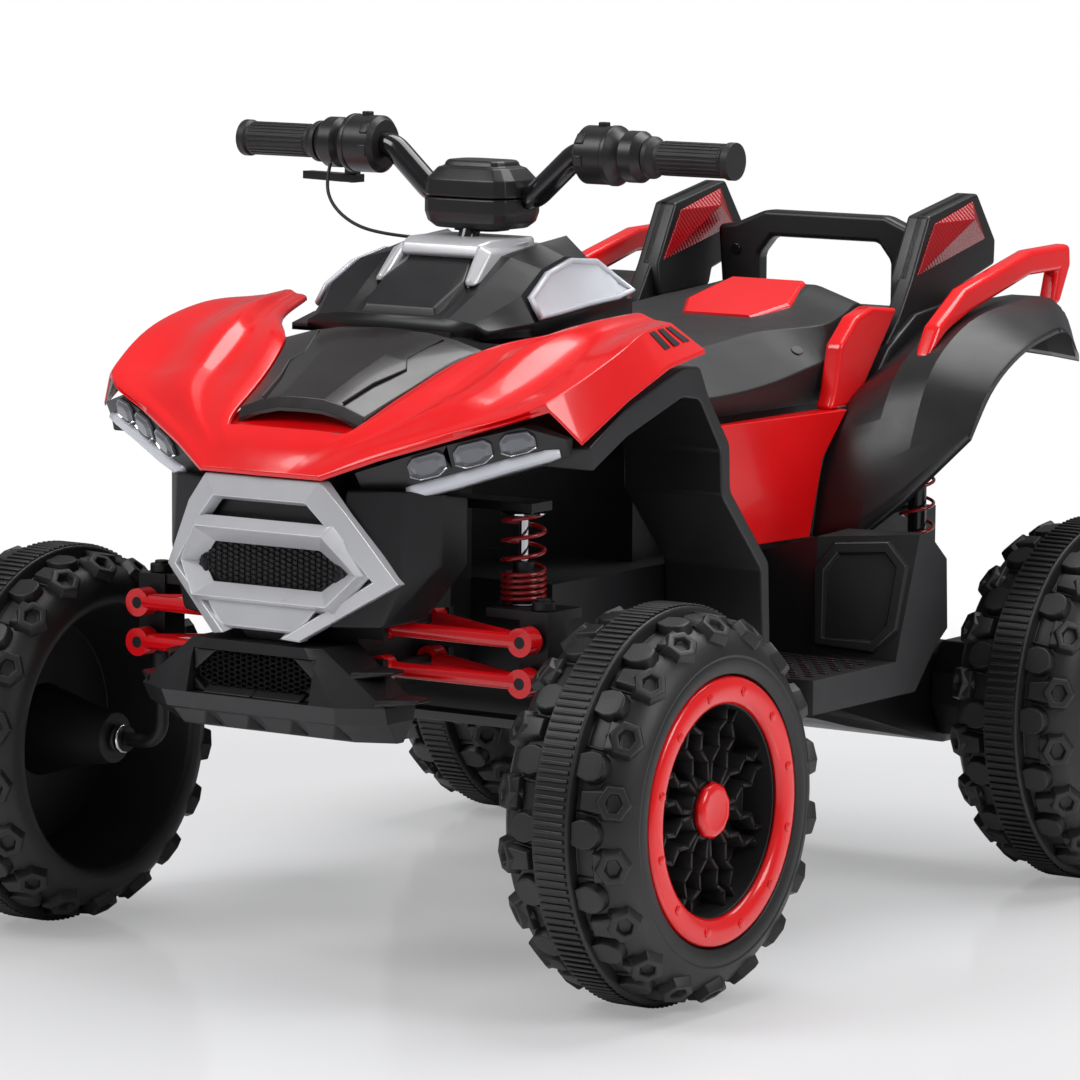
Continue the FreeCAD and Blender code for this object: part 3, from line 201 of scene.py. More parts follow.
def finish(name, colour, rough, drift=0.08, grain=0.0, grain_size=900, metal=0.0, coat=0.0,
           smear=0.06):
    """A surface whose colour and gloss vary a little, with a fine grain."""
    material = bpy.data.materials.new(name)
    material.use_nodes = True
    tree = material.node_tree
    links = tree.links
    shader = tree.nodes["Principled BSDF"]
    shader.inputs["Metallic"].default_value = metal
    shader.inputs["Coat Weight"].default_value = coat
    shader.inputs["Coat Roughness"].default_value = 0.06
    where = shader_node(tree, "TexCoord")
    cloud = shader_node(tree, "TexNoise", Scale=14, Detail=5)
    links.new(where.outputs["Object"], cloud.inputs["Vector"])
    tint = shader_node(tree, "ValToRGB")
    darker, lighter = tint.color_ramp.elements
    darker.position = 0.3
    darker.color = [c * (1 - drift) for c in colour] + [1]
    lighter.position = 0.7
    lighter.color = [min(1, c * (1 + drift)) for c in colour] + [1]
    links.new(cloud.outputs["Fac"], tint.inputs["Fac"])
    links.new(tint.outputs["Color"], shader.inputs["Base Color"])
    wear = shader_node(tree, "TexNoise", Scale=60, Detail=6)
    links.new(where.outputs["Object"], wear.inputs["Vector"])
    gloss = shader_node(tree, "MapRange", To_Min=max(0.02, rough - smear), To_Max=rough + smear)
    links.new(wear.outputs["Fac"], gloss.inputs["Value"])
    links.new(gloss.outputs["Result"], shader.inputs["Roughness"])
    if grain:
        pores = shader_node(tree, "TexNoise", Scale=grain_size, Detail=2)
        links.new(where.outputs["Object"], pores.inputs["Vector"])
        relief = shader_node(tree, "Bump", Strength=grain, Distance=0.0005)
        links.new(pores.outputs["Fac"], relief.inputs["Height"])
        links.new(relief.outputs["Normal"], shader.inputs["Normal"])
    return material


# %% Plastics, steels and lenses
red = finish("red_skin", (0.78, 0.004, 0.006), 0.22, 0.05, 0.02, 500, coat=0.35)
black = finish("black_moulded", (0.010, 0.010, 0.011), 0.36, 0.2, 0.12, 1100)
tyre_black = finish("tyre_black", (0.011, 0.011, 0.011), 0.46, 0.25, 0.2, 700)
deep_black = finish("deep_black", (0.004, 0.004, 0.005), 0.42, 0.2, 0.1, 900)
seat_black = finish("seat_black", (0.010, 0.010, 0.011), 0.5, 0.2, 0.35, 1500)
smoked = finish("smoked_panel", (0.022, 0.019, 0.019), 0.22, 0.2, 0.0, coat=0.25)
silver = finish("silver_skin", (0.60, 0.60, 0.62), 0.30, 0.04, 0.05, 1800, metal=0.35)
clear_lamp = finish("white_lamp", (0.66, 0.67, 0.72), 0.18, 0.04, 0.02, 300, coat=0.5)
grey_lens = finish("grey_lens", (0.13, 0.135, 0.15), 0.1, 0.15, 0.0, coat=0.6)
bright = finish("bright_plate", (0.80, 0.80, 0.82), 0.1, 0.03, 0.0, metal=1.0, smear=0.04)
black_paint = finish("black_paint", (0.006, 0.006, 0.007), 0.16, 0.15, 0.02, 400, coat=0.4)
frame_black = finish("frame_black", (0.003, 0.003, 0.004), 0.45, 0.15, 0.05, 700)
red_paint = finish("red_paint", (0.66, 0.004, 0.008), 0.18, 0.06, 0.02, 400, coat=0.4)
spring_red = finish("spring_red", (0.24, 0.004, 0.006), 0.24, 0.1, 0.02, 400, coat=0.4)
rubber = finish("rubber_skin", (0.012, 0.012, 0.013), 0.5, 0.2, 0.2, 1300)
case_grey = finish("case_skin", (0.05, 0.05, 0.055), 0.5, 0.15, 0.1, 900)
tail_red = finish("tail_lens", (0.34, 0.002, 0.006), 0.22, 0.15, 0.0, coat=0.2)

# %% Ribs inside the tail lens
lens_tree = tail_red.node_tree
lens_ribs = shader_node(lens_tree, "TexWave", Scale=110)
lens_ribs.bands_direction = "DIAGONAL"
lens_relief = shader_node(lens_tree, "Bump", Strength=0.35, Distance=0.001)
lens_place = lens_tree.nodes["Texture Coordinate"]
lens_tree.links.new(lens_place.outputs["Object"], lens_ribs.inputs["Vector"])
lens_tree.links.new(lens_ribs.outputs["Fac"], lens_relief.inputs["Height"])
lens_tree.links.new(lens_relief.outputs["Normal"], lens_tree.nodes["Principled BSDF"].inputs["Normal"])

# %% [markdown]
# ## Tools for the pieces
# A few short helpers around the bmesh operators: a slab is a flat outline that is extruded, a lump is
# the tight skin round some points, a ring is an outline spun about an axis, a sheet is a net of places
# that is thickened afterwards, and a ridge is a raised strip.  Each finished piece is put on the body
# it rides on, and the solid it stands for is hidden.

# %% Tools
def soften(bm, width, segments=2, angle=25, limit=180):
    """Rounds every edge whose faces turn by more than the angle and no more than the limit."""
    bm.normal_update()
    turns = {e: math.degrees(e.calc_face_angle(0)) for e in bm.edges if len(e.link_faces) == 2}
    sharp = [e for e, turn in turns.items() if angle < turn <= limit]
    bmesh.ops.bevel(bm, geom=sharp, offset=width * MM, offset_type="OFFSET", segments=segments,
                    profile=0.5, affect="EDGES", clamp_overlap=True, material=-1)


def piece(name, bm, look, body, *nodes):
    """A finished piece: merged, facing outwards, smooth, riding on its body when one is given."""
    bmesh.ops.remove_doubles(bm, verts=bm.verts, dist=1e-6)
    bmesh.ops.recalc_face_normals(bm, faces=bm.faces)
    mesh = bpy.data.meshes.new(name)
    bm.to_mesh(mesh)
    bm.free()
    for face in mesh.polygons:
        face.use_smooth = True
    mesh.materials.append(look)
    item = bpy.data.objects.new(name, mesh)
    scene.collection.objects.link(item)
    if body:
        item.modifiers.new("even_shading", "WEIGHTED_NORMAL").keep_sharp = True
        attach(item, body)
    if nodes:
        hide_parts(*nodes)
    print(name, len(mesh.polygons), "faces")
    return item


CREASE_LIMIT = 62


def moulded(node, look, width=2.0, segments=3, angle=22, crease=0, rides=True):
    """A copy of a solid with rounded edges, in place of it; a crease is rounded wider than an edge."""
    bm = bmesh.new()
    bm.from_mesh(frame["nodes"][node].data)
    bmesh.ops.remove_doubles(bm, verts=bm.verts, dist=1e-5)
    bmesh.ops.dissolve_limit(bm, angle_limit=math.radians(1), verts=bm.verts, edges=bm.edges)
    if crease:
        soften(bm, crease, 3, 5, CREASE_LIMIT)
    if width:
        soften(bm, width, segments, CREASE_LIMIT if crease else angle)
    return piece(node + "_skin", bm, look, body_of_node[node] if rides else None, node)


def lump(bm, points):
    """The tight skin round some points."""
    verts = [bm.verts.new(p) for p in points]
    hull = bmesh.ops.convex_hull(bm, input=verts)
    inside = [g for g in hull["geom_interior"] if isinstance(g, bmesh.types.BMVert)]
    bmesh.ops.delete(bm, geom=inside, context="VERTS")
    return verts


def block(bm, xs, ys, zs):
    """A block between drawing values on the three axes."""
    lump(bm, [place(x, y, z) for x in xs for y in ys for z in zs])


def metres(points):
    """Places in millimetres, turned into metres."""
    return [Vector(p) * MM for p in points]


def push(bm, faces, depth):
    """Extrudes faces along a vector and keeps them as the far wall."""
    grown = bmesh.ops.extrude_face_region(bm, geom=faces, use_keep_orig=True)
    moved = [g for g in grown["geom"] if isinstance(g, bmesh.types.BMVert)]
    bmesh.ops.translate(bm, verts=moved, vec=depth)


def slab(bm, outline, depth):
    """A flat outline extruded along a vector."""
    face = bm.faces.new([bm.verts.new(p) for p in outline])
    push(bm, [face], depth)


# %% Tools for sheets and strips
def curve(points, steps):
    """A smooth run through some places, with so many steps between each two."""
    points = [Vector(p) for p in points]
    gaps = [(b - a).length for a, b in zip(points, points[1:])]
    slopes = [(b - a) / gap for a, b, gap in zip(points, points[1:], gaps)]
    tangents = [slopes[0]]
    for i in range(1, len(slopes)):
        tangents.append((slopes[i - 1] * gaps[i] + slopes[i] * gaps[i - 1]) / (gaps[i] + gaps[i - 1]))
    tangents.append(slopes[-1])
    run = []
    for i, gap in enumerate(gaps):
        for k in range(steps):
            t = k / steps
            near = points[i] * (1 + 2 * t) * (1 - t) ** 2 + tangents[i] * gap * t * (1 - t) ** 2
            run.append(near + points[i + 1] * t * t * (3 - 2 * t) + tangents[i + 1] * gap * t * t * (t - 1))
    run.append(points[-1])
    return run


def flow(rows, steps):
    """Rows of places with smooth rows between them."""
    columns = [curve(column, steps) for column in zip(*rows)]
    return [list(row) for row in zip(*columns)]


def sheet(bm, rows):
    """An open sheet over rows of drawing places."""
    grid = [[bm.verts.new(place(*p)) for p in row] for row in rows]
    for near, far in zip(grid, grid[1:]):
        for j in range(len(near) - 1):
            bm.faces.new((near[j], near[j + 1], far[j + 1], far[j]))


def thicken(bm, depth):
    """Closes a sheet by a second one, moved along a vector in millimetres."""
    bmesh.ops.remove_doubles(bm, verts=bm.verts, dist=1e-6)
    bmesh.ops.recalc_face_normals(bm, faces=bm.faces)
    push(bm, bm.faces[:], Vector(depth) * MM)


def join(bm, loops, closed=False):
    """Faces between loops of drawing places, with end caps where the chain of loops is open."""
    grid = [[bm.verts.new(place(*p)) for p in loop] for loop in loops]
    count = len(grid[0])
    pairs = list(zip(grid, grid[1:]))
    if closed:
        pairs.append((grid[-1], grid[0]))
    for near, far in pairs:
        for j in range(count):
            k = (j + 1) % count
            bm.faces.new((near[j], near[k], far[k], far[j]))
    if not closed:
        bm.faces.new(grid[0])
        bm.faces.new(grid[-1])


ROUND = [(-1, -0.4), (-0.75, 0.55), (-0.3, 0.95), (0.3, 0.95), (0.75, 0.55), (1, -0.4)]
FLAT = [(-1, -0.3), (-0.6, 1), (0.6, 1), (1, -0.3)]


def ridge(bm, stations, section, out, closed=False):
    """A raised strip through stations of (place, half width, height) on the drawing."""
    out = Vector(out).normalized()
    spots = [Vector(spot) for spot, half, height in stations]
    last = len(stations) - 1
    loops = []
    for i, (spot, half, height) in enumerate(stations):
        before = spots[i - 1] if closed or i > 0 else spots[i]
        after = spots[(i + 1) % (last + 1)] if closed or i < last else spots[i]
        across = (after - before).cross(out).normalized()
        loops.append([spots[i] + across * half * u + out * height * v for u, v in section])
    join(bm, loops, closed)


def ring(bm, profile, steps, centre=Vector(), closed=True):
    """A profile of (x, radius) in millimetres spun about an X axis."""
    verts = [bm.verts.new(centre + Vector((x, 0, r)) * MM) for x, r in profile]
    edges = [bm.edges.new((a, b)) for a, b in zip(verts, verts[1:])]
    if closed:
        edges.append(bm.edges.new((verts[-1], verts[0])))
    bmesh.ops.spin(bm, geom=verts + edges, cent=centre, axis=(1, 0, 0), dvec=(0, 0, 0),
                   angle=2 * math.pi, steps=steps, use_merge=True, use_duplicate=False)


# %% Tools for copies
def stamped(bm, part, matrices):
    """Copies of a small mesh at many places."""
    for matrix in matrices:
        copy = part.copy()
        copy.transform(matrix)
        bm.from_mesh(copy)
        bpy.data.meshes.remove(copy)


def both_sides(bm):
    """Adds the mirror image across the middle plane."""
    bmesh.ops.mirror(bm, geom=bm.verts[:] + bm.edges[:] + bm.faces[:], axis="X", merge_dist=0.0)


def bar(bm, a, b, width, depth, out, taper=1.0):
    """A straight bar from a to b, millimetres, standing out along a direction."""
    along = (b - a).normalized()
    across = along.cross(out).normalized()
    points = []
    for spot in (a, b):
        for k in (-0.5, 0.5):
            points.append(place(*(spot + across * width * k)))
            points.append(place(*(spot + across * width * k * taper + out * depth)))
    lump(bm, points)


def small_mesh(bm):
    """A mesh kept for stamping."""
    bmesh.ops.recalc_face_normals(bm, faces=bm.faces)
    mesh = bpy.data.meshes.new("stamp")
    bm.to_mesh(mesh)
    bm.free()
    return mesh


def disc(bm, segments, low, high, depth, matrix):
    """A short cone about the matrix's own Z axis, in metres."""
    bmesh.ops.create_cone(bm, cap_ends=True, segments=segments, radius1=low, radius2=high, depth=depth,
                          matrix=matrix)


def across_middle(points):
    """Drawing places and their mirror images."""
    return [place(x * sign, y, z) for sign in (1, -1) for x, y, z in points]


# %% [markdown]
# ## Wheels
# The wheels are blow-moulded plastic with a soft ribbed strip round the middle.  A profile is spun
# for the shell, then lugs are stamped round it: hexagonal ones with a hexagonal pocket on the
# shoulders, rounded ones beside the strip, and thin ribs across the strip.  Kinked ribs fill the hub,
# and the red ring and hub cap are spun as a piece of their own.  A flat tread could be bent round by
# modifiers, but stamping leaves each lug its shape.

# %% Wheel stamps
LONG_FOOT = [(46, -9, 156), (46, 9, 156), (25, -7, 158), (25, 7, 158), (21, -9, 148), (21, 9, 148),
             (46, -13, 146), (46, 13, 146)]
SHORT_FOOT = [(46, -10, 155), (46, 10, 155), (36, -12, 156), (36, 12, 156), (33, -14, 147), (33, 14, 147),
              (46, -13, 146), (46, 13, 146)]


def around(steps, offset=0.0):
    """Equal turns about the axle."""
    return [Matrix.Rotation(2 * math.pi * (i + offset) / steps, 4, "X") for i in range(steps)]


def shoulder_lug(foot):
    """A hexagonal lug on the outer shoulder, with a pocket in its top and a foot towards the strip."""
    bm = bmesh.new()
    normal = Vector((0.6, 0, 0.8))
    slope = Vector((0.8, 0, -0.6))
    side = Vector((0, 1, 0))
    top = Vector((52.5, 0, 151.5)) * MM
    corners = []
    for i in range(6):
        a = math.pi / 3 * i
        corners.append((slope * math.cos(a), side * math.sin(a)))

    def height(face):
        return face.calc_center_median().dot(normal)

    lump(bm, [top + (u * 0.0135 + v * 0.0150) for u, v in corners]
         + [top - normal * 0.012 + (u * 0.0170 + v * 0.0185) for u, v in corners])
    bmesh.ops.dissolve_limit(bm, angle_limit=0.01, verts=bm.verts, edges=bm.edges)
    crown = max(bm.faces, key=height)
    bmesh.ops.inset_region(bm, faces=[crown], thickness=0.0055, use_even_offset=True)
    crown = max((f for f in bm.faces if len(f.verts) == 6), key=height)
    bmesh.ops.inset_region(bm, faces=[crown], thickness=0.0008, depth=-0.005, use_even_offset=True)
    lump(bm, metres(foot))
    soften(bm, 0.9, 1, 30)
    return small_mesh(bm)


def band_lug():
    """A rounded lug whose straight end meets the ribbed strip, with a thin vein beside it."""
    bm = bmesh.new()
    points = []
    for x, half, height in ((17.5, 9, 158.5), (27, 12, 158), (34, 11, 157.5), (39, 7.5, 157), (41, 3, 156.5)):
        for y in (-half, half):
            points.append(Vector((x, y, height)) * MM)
            points.append(Vector((x + 1.5, y * 1.18, 147)) * MM)
    lump(bm, points)
    bmesh.ops.dissolve_limit(bm, angle_limit=0.02, verts=bm.verts, edges=bm.edges)
    soften(bm, 1.1, 2, 30)
    lump(bm, metres(((18, 15, 149), (18, 18.5, 149), (19, 16, 152.5), (19, 17.5, 152.5),
                     (44, 12, 146), (44, 15.5, 146), (44, 13, 150.5), (44, 14.5, 150.5))))
    return small_mesh(bm)


def strip_rib():
    """One thin rib across the strip."""
    bm = bmesh.new()
    lump(bm, metres(((-14.5, -2.0, 162.5), (14.5, -2.0, 162.5), (14.5, 2.0, 162.5), (-14.5, 2.0, 162.5),
                     (-13.8, -1.2, 164.9), (13.8, -1.2, 164.9), (13.8, 1.2, 164.9), (-13.8, 1.2, 164.9))))
    return small_mesh(bm)


def spoke_rib(mirror):
    """One kinked rib of a forked spoke, as a chain of short blocks."""
    bm = bmesh.new()
    knots = [(24, 4), (40, 5), (52, 15), (65, 11), (75, 19), (88, 17)]
    places = []
    for radius, degrees in knots:
        angle = math.radians(degrees)
        places.append(Vector((0, radius * math.sin(angle) * mirror, radius * math.cos(angle))))
    for a, b in zip(places, places[1:]):
        along = (b - a).normalized()
        across = Vector((0, along.z, -along.y))
        points = []
        for spot in (a - along * 0.5, b + along * 0.5):
            for x, half in ((24, 3.4), (47, 1.7)):
                points.append((spot + across * half + Vector((x, 0, 0))) * MM)
                points.append((spot - across * half + Vector((x, 0, 0))) * MM)
        lump(bm, points)
    return small_mesh(bm)


# %% Wheels
SHELL = [(-66, 8.4), (-66, 22), (-40, 26), (14, 40), (20, 98), (-57, 114), (-61, 119), (-62, 126),
         (-59, 136), (-50, 146), (-38, 149.5), (-18, 151), (-17.5, 160.5), (-16, 163), (16, 163),
         (17.5, 160.5), (18, 151), (38, 149.5), (50, 146), (59, 136), (62.5, 127), (61.6, 125.5),
         (62.4, 123), (62.5, 118), (60.5, 112), (56, 111), (54, 111), (54, 86.5), (26, 84), (25, 31),
         (34, 29), (46, 24), (46, 8.4)]
RING = [(54.1, 87.2), (54.1, 110), (59, 110), (61.5, 108.5), (62.5, 105), (63, 100), (62.6, 94),
        (60.5, 89.5), (57, 87.2)]
CAP = [(46.1, 0), (46.1, 23.5), (51, 23.5), (54, 20.5), (54.5, 16.5), (53.6, 15.5), (53.6, 0)]
WHEEL_X = 313
AXLE_Y = 359.5
AXLE_Z = 165
SPIN_STEPS = 96
CAP_SIDES = 10
LUGS = 9
STRIP_RIBS = 148
SPOKES = 8
STUDS = 12
lugs = [shoulder_lug(LONG_FOOT), shoulder_lug(SHORT_FOOT)]
beside = band_lug()
rib = strip_rib()
spoke_ribs = [spoke_rib(1), spoke_rib(-1)]
stud_bm = bmesh.new()
disc(stud_bm, 10, 0.0042, 0.0034, 0.0022,
     Matrix.Translation((0.0632, 0, 0.0985)) @ Matrix.Rotation(math.pi / 2, 4, "Y"))
stud = small_mesh(stud_bm)
flip = Matrix.Rotation(math.pi, 4, "Z")
for end, axle_y in (("front", -AXLE_Y), ("rear", AXLE_Y)):
    for side, sign in (("left", 1), ("right", -1)):
        wheel = f"{end}_{side}"
        spot = Matrix.Translation(Vector((WHEEL_X * sign, axle_y, AXLE_Z)) * MM)
        if sign < 0:
            spot = spot @ flip
        shell = bmesh.new()
        ring(shell, SHELL, SPIN_STEPS)
        soften(shell, 1.2, 2, 40)
        for half, twist in ((Matrix.Identity(4), 0.0), (flip, 0.5)):
            stamped(shell, lugs[0], [m @ half for m in around(LUGS, twist)])
            stamped(shell, lugs[1], [m @ half for m in around(LUGS, twist + 0.5)])
            stamped(shell, beside, [m @ half for m in around(2 * LUGS, 2 * twist + 0.5)])
        stamped(shell, rib, around(STRIP_RIBS))
        for part in spoke_ribs:
            stamped(shell, part, around(SPOKES))
        bmesh.ops.transform(shell, matrix=spot, verts=shell.verts)
        piece(f"wheel_shell_{wheel}", shell, tyre_black, f"wheel_{wheel}", f"tyre_{wheel}")
        trim = bmesh.new()
        ring(trim, RING, SPIN_STEPS)
        stamped(trim, stud, around(STUDS, 0.5))
        ring(trim, CAP, CAP_SIDES, closed=False)
        bmesh.ops.transform(trim, matrix=spot, verts=trim.verts)
        piece(f"wheel_ring_{wheel}", trim, red, f"wheel_{wheel}", f"wheel_trim_{wheel}")

# %% [markdown]
# ## Moulded bodywork
# The big panels are already the right facets, so each is copied, merged and given rounded edges, as
# a mould gives them.  A Bevel modifier has one width, so the operator is used instead: shallow creases
# are rounded wider than rims.  The springs can't ride on one body, so each is left unattached between
# the chassis and the arm below it.

# %% Panels
for node, look, width, crease in (
        ("nose_shell", black, 1.5, 3.0), ("front_liners", black, 2.0, 4.0), ("front_bumper", black, 2.2, 5.0),
        ("console_shroud", black, 1.5, 7.0), ("side_panels", red, 1.2, 3.0), ("footboards", black, 2.0, 5.0),
        ("swing_arm", black, 2.0, 4.0)):
    moulded(node, look, width, 2, crease=crease)
for node, look, width in (
        ("stem_trim", silver, 1.4), ("seat_surrounds", red, 4.0), ("backrest_handle", black, 5.0),
        ("rear_rails", red, 5.0), ("chassis_tub", deep_black, 2.0), ("front_frame", frame_black, 1.0),
        ("battery", case_grey, 2.0), ("gear_motors", deep_black, 3.0), ("throttle_lever", black, 3.2),
        ("tie_rod", black_paint, 1.0)):
    moulded(node, look, width)

# %% Turned and drawn parts
for node, look, width in (
        ("handlebar", black_paint, 0), ("steering_column", black_paint, 0.6), ("grips", rubber, 0.8),
        ("switch_pods", black, 1.2), ("horn_button", black, 0.8), ("music_button", black, 0.8),
        ("rear_axle", black_paint, 0.8), ("rear_shocks", black_paint, 0.6), ("shock_rods", bright, 0.5),
        ("body_screws", black_paint, 0.6)):
    moulded(node, look, width, 2, 35)

# %% Arms and springs
for side in ("left", "right"):
    moulded(f"lower_arm_{side}", red_paint, 0.8, 2, 40)
    moulded(f"upper_arm_{side}", red_paint, 0.8, 2, 40)
    moulded(f"upright_{side}", frame_black, 3.0, 2, 40)
    moulded(f"knuckle_{side}", frame_black, 0.6, 2, 40)
    front_spring = moulded(f"front_spring_{side}", spring_red, 0, rides=False)
    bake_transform(front_spring)
rear_springs = moulded("rear_springs", spring_red, 0, rides=False)
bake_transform(rear_springs)

# %% [markdown]
# ## Seat
# The saddle is one blow-moulded shell with a rolled brim.  Its outlines are laid along the bike and smooth
# ones are put between, then the brim is rounded.  A subdivided cage would do as well, but it would pull
# away from the outlines.  A thin red pad lies on the rear, and a screw is sunk into each flank.

# %% Saddle
SADDLE = [(-110, 92, 436, 104, 455, 66, 472, 478), (0, 122, 436, 130, 456, 72, 486, 491),
          (90, 124, 436, 132, 462, 74, 494, 498), (145, 124, 436, 132, 470, 79, 500, 501),
          (192, 124, 436, 132, 477, 120, 506, 505), (238, 112, 438, 118, 484, 112, 511, 514.5),
          (290, 98, 440, 104, 490, 96, 517, 531), (350, 78, 470, 84, 488, 72, 506, 517)]
saddle_loops = []
for y, half, base, waist, waist_z, brim, brim_z, crown in SADDLE:
    side_places = [(half, y, base), (waist, y, waist_z), (brim, y, brim_z), (brim / 2, y, crown)]
    saddle_loops.append(side_places + [(-x, yy, z) for x, yy, z in reversed(side_places)])
seat_bm = bmesh.new()
join(seat_bm, flow(saddle_loops, 6))
soften(seat_bm, 1.8, 2, 14)
piece("seat_skin", seat_bm, seat_black, "chassis", "seat")

# %% Seat pad and screws
PAD = [(201, 38, 504.5), (238, 57, 515), (290, 42, 532)]
PAD_HEIGHT = 3
PAD_SLOPE = 4
SCREW_SPOT = (114.7, 156.2, 484.6)
SCREW_OUT = (0.54, -0.35, 0.77)
pad_loops = []
for y, half, z in PAD:
    low = z - PAD_HEIGHT
    top = z + PAD_HEIGHT
    pad_loops.append([(-half, y, low), (half, y, low), (half, y, z), (half - PAD_SLOPE, y, top),
                      (PAD_SLOPE - half, y, top), (-half, y, z)])
pad_bm = bmesh.new()
join(pad_bm, pad_loops)
soften(pad_bm, 1.2, 2, 15)
piece("seat_pad_skin", pad_bm, red, "chassis", "seat_pad")
screw_bm = bmesh.new()
screw_turn = Vector(SCREW_OUT).to_track_quat("Z", "Y").to_matrix().to_4x4()
disc(screw_bm, 24, 0.0055, 0.005, 0.0016, Matrix.Translation(place(*SCREW_SPOT)) @ screw_turn)
both_sides(screw_bm)
piece("seat_screws", screw_bm, deep_black, "chassis")

# %% [markdown]
# ## Rear body
# The rear fenders, deck and tail fins are one black moulding.  Each fender is a sheet that flows along
# its length and keeps two creases across it.  It is thickened along one vector rather than along its
# normals, so that the lip stays even.  The fins are plates that stand on the deck.

# %% Rear body
FENDER = [(153, [(124, 324), (143, 392), (180, 436), (236, 464), (320, 500), (425, 508), (462, 470)]),
          (200, [(124, 328), (148, 400), (186, 465), (240, 498), (320, 516), (435, 512), (466, 466)]),
          (235, [(140, 360), (157, 415), (188, 470), (240, 504), (320, 521), (425, 512), (455, 464)]),
          (284, [(170, 418), (180, 430), (204, 456), (256, 486), (300, 498), (345, 500), (365, 480)])]
FIN = [(227, 428), (240, 471), (275, 506), (298, 541), (328, 597), (416, 614), (451, 569), (450, 546),
       (394, 531), (389, 516), (394, 500), (349, 486), (279, 455)]
FIN_FOOT = [(212, 436), (222, 452), (250, 482), (298, 510), (352, 517), (352, 486), (300, 472), (236, 446)]
rear_bm = bmesh.new()
fender_rows = [[(x, *line[k]) for x, line in FENDER] for k in range(len(FENDER[0][1]))]
sheet(rear_bm, flow(fender_rows, 5))
thicken(rear_bm, (0, 7, -5))
soften(rear_bm, 3.0, 2, 9, 60)
soften(rear_bm, 1.4, 2, 60)
fin_bm = bmesh.new()
fin_head = FIN[3:10] + [(303, 510)]
for x, outline, thickness in ((134, FIN, 0.016), (126, fin_head, 0.02), (138, FIN_FOOT, 0.018)):
    slab(fin_bm, [place(x, y, z) for y, z in outline], Vector((thickness, 0, 0)))
block(fin_bm, (124, 155), (324, 420), (481, 505))
soften(fin_bm, 3.0, 3, 40)
rear_bm.from_mesh(small_mesh(fin_bm))
both_sides(rear_bm)
deck_bm = bmesh.new()
block(deck_bm, (-140, 140), (352, 440), (470, 502))
block(deck_bm, (-110, 110), (352, 398), (323, 474))
soften(deck_bm, 2.0, 2, 40)
rear_bm.from_mesh(small_mesh(deck_bm))
piece("rear_body_skin", rear_bm, black, "chassis", "rear_body")

# %% [markdown]
# ## Position lamps
# The two white lamps beside the shroud are clear covers over a white tray.  The tray is folded along its
# length, and a rounded rim stands round it.  Cutting the tray out of a solid would leave thin slivers
# at the fold, so it is a sheet from the start.

# %% Position lamps
LAMP_LOW = [(115, -258, 542.5), (115, -225, 545), (115, -185, 549), (115, -140, 552), (114, -116, 556)]
LAMP_TOP = [(105.5, -258, 557.5), (100.5, -225, 576), (96.5, -185, 584.5), (92, -140, 581), (90, -116, 570)]
LAMP_OUT = Vector((0.91, 0, 0.41))
tray = bmesh.new()
tray_rows = []
for low, top in zip(LAMP_LOW, LAMP_TOP):
    fold = Vector(low).lerp(Vector(top), 0.52) - LAMP_OUT * 1.8
    tray_rows.append([low, tuple(fold), top])
sheet(tray, tray_rows)
thicken(tray, (-1.6, 0, -0.6))
ridge(tray, [(spot, 3.0, 3.6) for spot in LAMP_LOW + LAMP_TOP[::-1]], ROUND, LAMP_OUT, closed=True)
both_sides(tray)
piece("position_lamp_covers", tray, clear_lamp, "chassis", "position_lamps")

# %% [markdown]
# ## Tail lamps
# Each lens is a clear red prism that is pressed into a low pyramid on both faces of the fin.  One hull
# round the flat lens and two tips makes both pyramids at once, and its material has the ribs.

# %% Tail lamps
LENS_FACE = [(306, 544), (336, 590), (405, 607), (429, 571)]
prism_bm = bmesh.new()
flat_lens = [place(x, y, z) for x in (125, 151) for y, z in LENS_FACE]
lump(prism_bm, flat_lens + [place(114, 389, 592), place(163, 389, 592)])
soften(prism_bm, 0.8, 2, 8)
both_sides(prism_bm)
piece("tail_lens_prisms", prism_bm, tail_red, "chassis", "tail_lamp_lenses")

# %% [markdown]
# ## Headlamps
# Under each wing of the hood lie three grey octagonal lenses over a white light bar.  The lenses follow
# the front of the lamp housing, so a short function gives places on that face.  A bright edge runs
# round the lower half of each lens.

# %% Headlamps
LAMP_EDGE = [(80, (-455, 400.5), (-474, 428)), (121, (-440, 408), (-458, 443)),
             (150, (-428, 416), (-444, 453)), (205, (-404, 434), (-416, 469)),
             (236, (-391, 446), (-399, 460))]
LENS_SPANS = ((119, 147), (153, 181), (187, 213))
LENS_CUT = 7
LIGHT_BAR = [(113, 0.15, 6), (118, 0.17, 7.5), (150, 0.19, 7.5), (190, 0.22, 7), (220, 0.24, 6),
             (229, 0.25, 4)]
LIGHT_OUT = (0.38, -0.92, 0.1)


def lamp_face(x, share):
    """A place on the front of the left housing, share 0 at its lower edge and 1 at its upper."""
    for (x0, low0, top0), (x1, low1, top1) in zip(LAMP_EDGE, LAMP_EDGE[1:]):
        if x0 <= x <= x1:
            t = (x - x0) / (x1 - x0)
            low = Vector((x, low0[0] + t * (low1[0] - low0[0]), low0[1] + t * (low1[1] - low0[1])))
            top = Vector((x, top0[0] + t * (top1[0] - top0[0]), top0[1] + t * (top1[1] - top0[1])))
            return low.lerp(top, share)


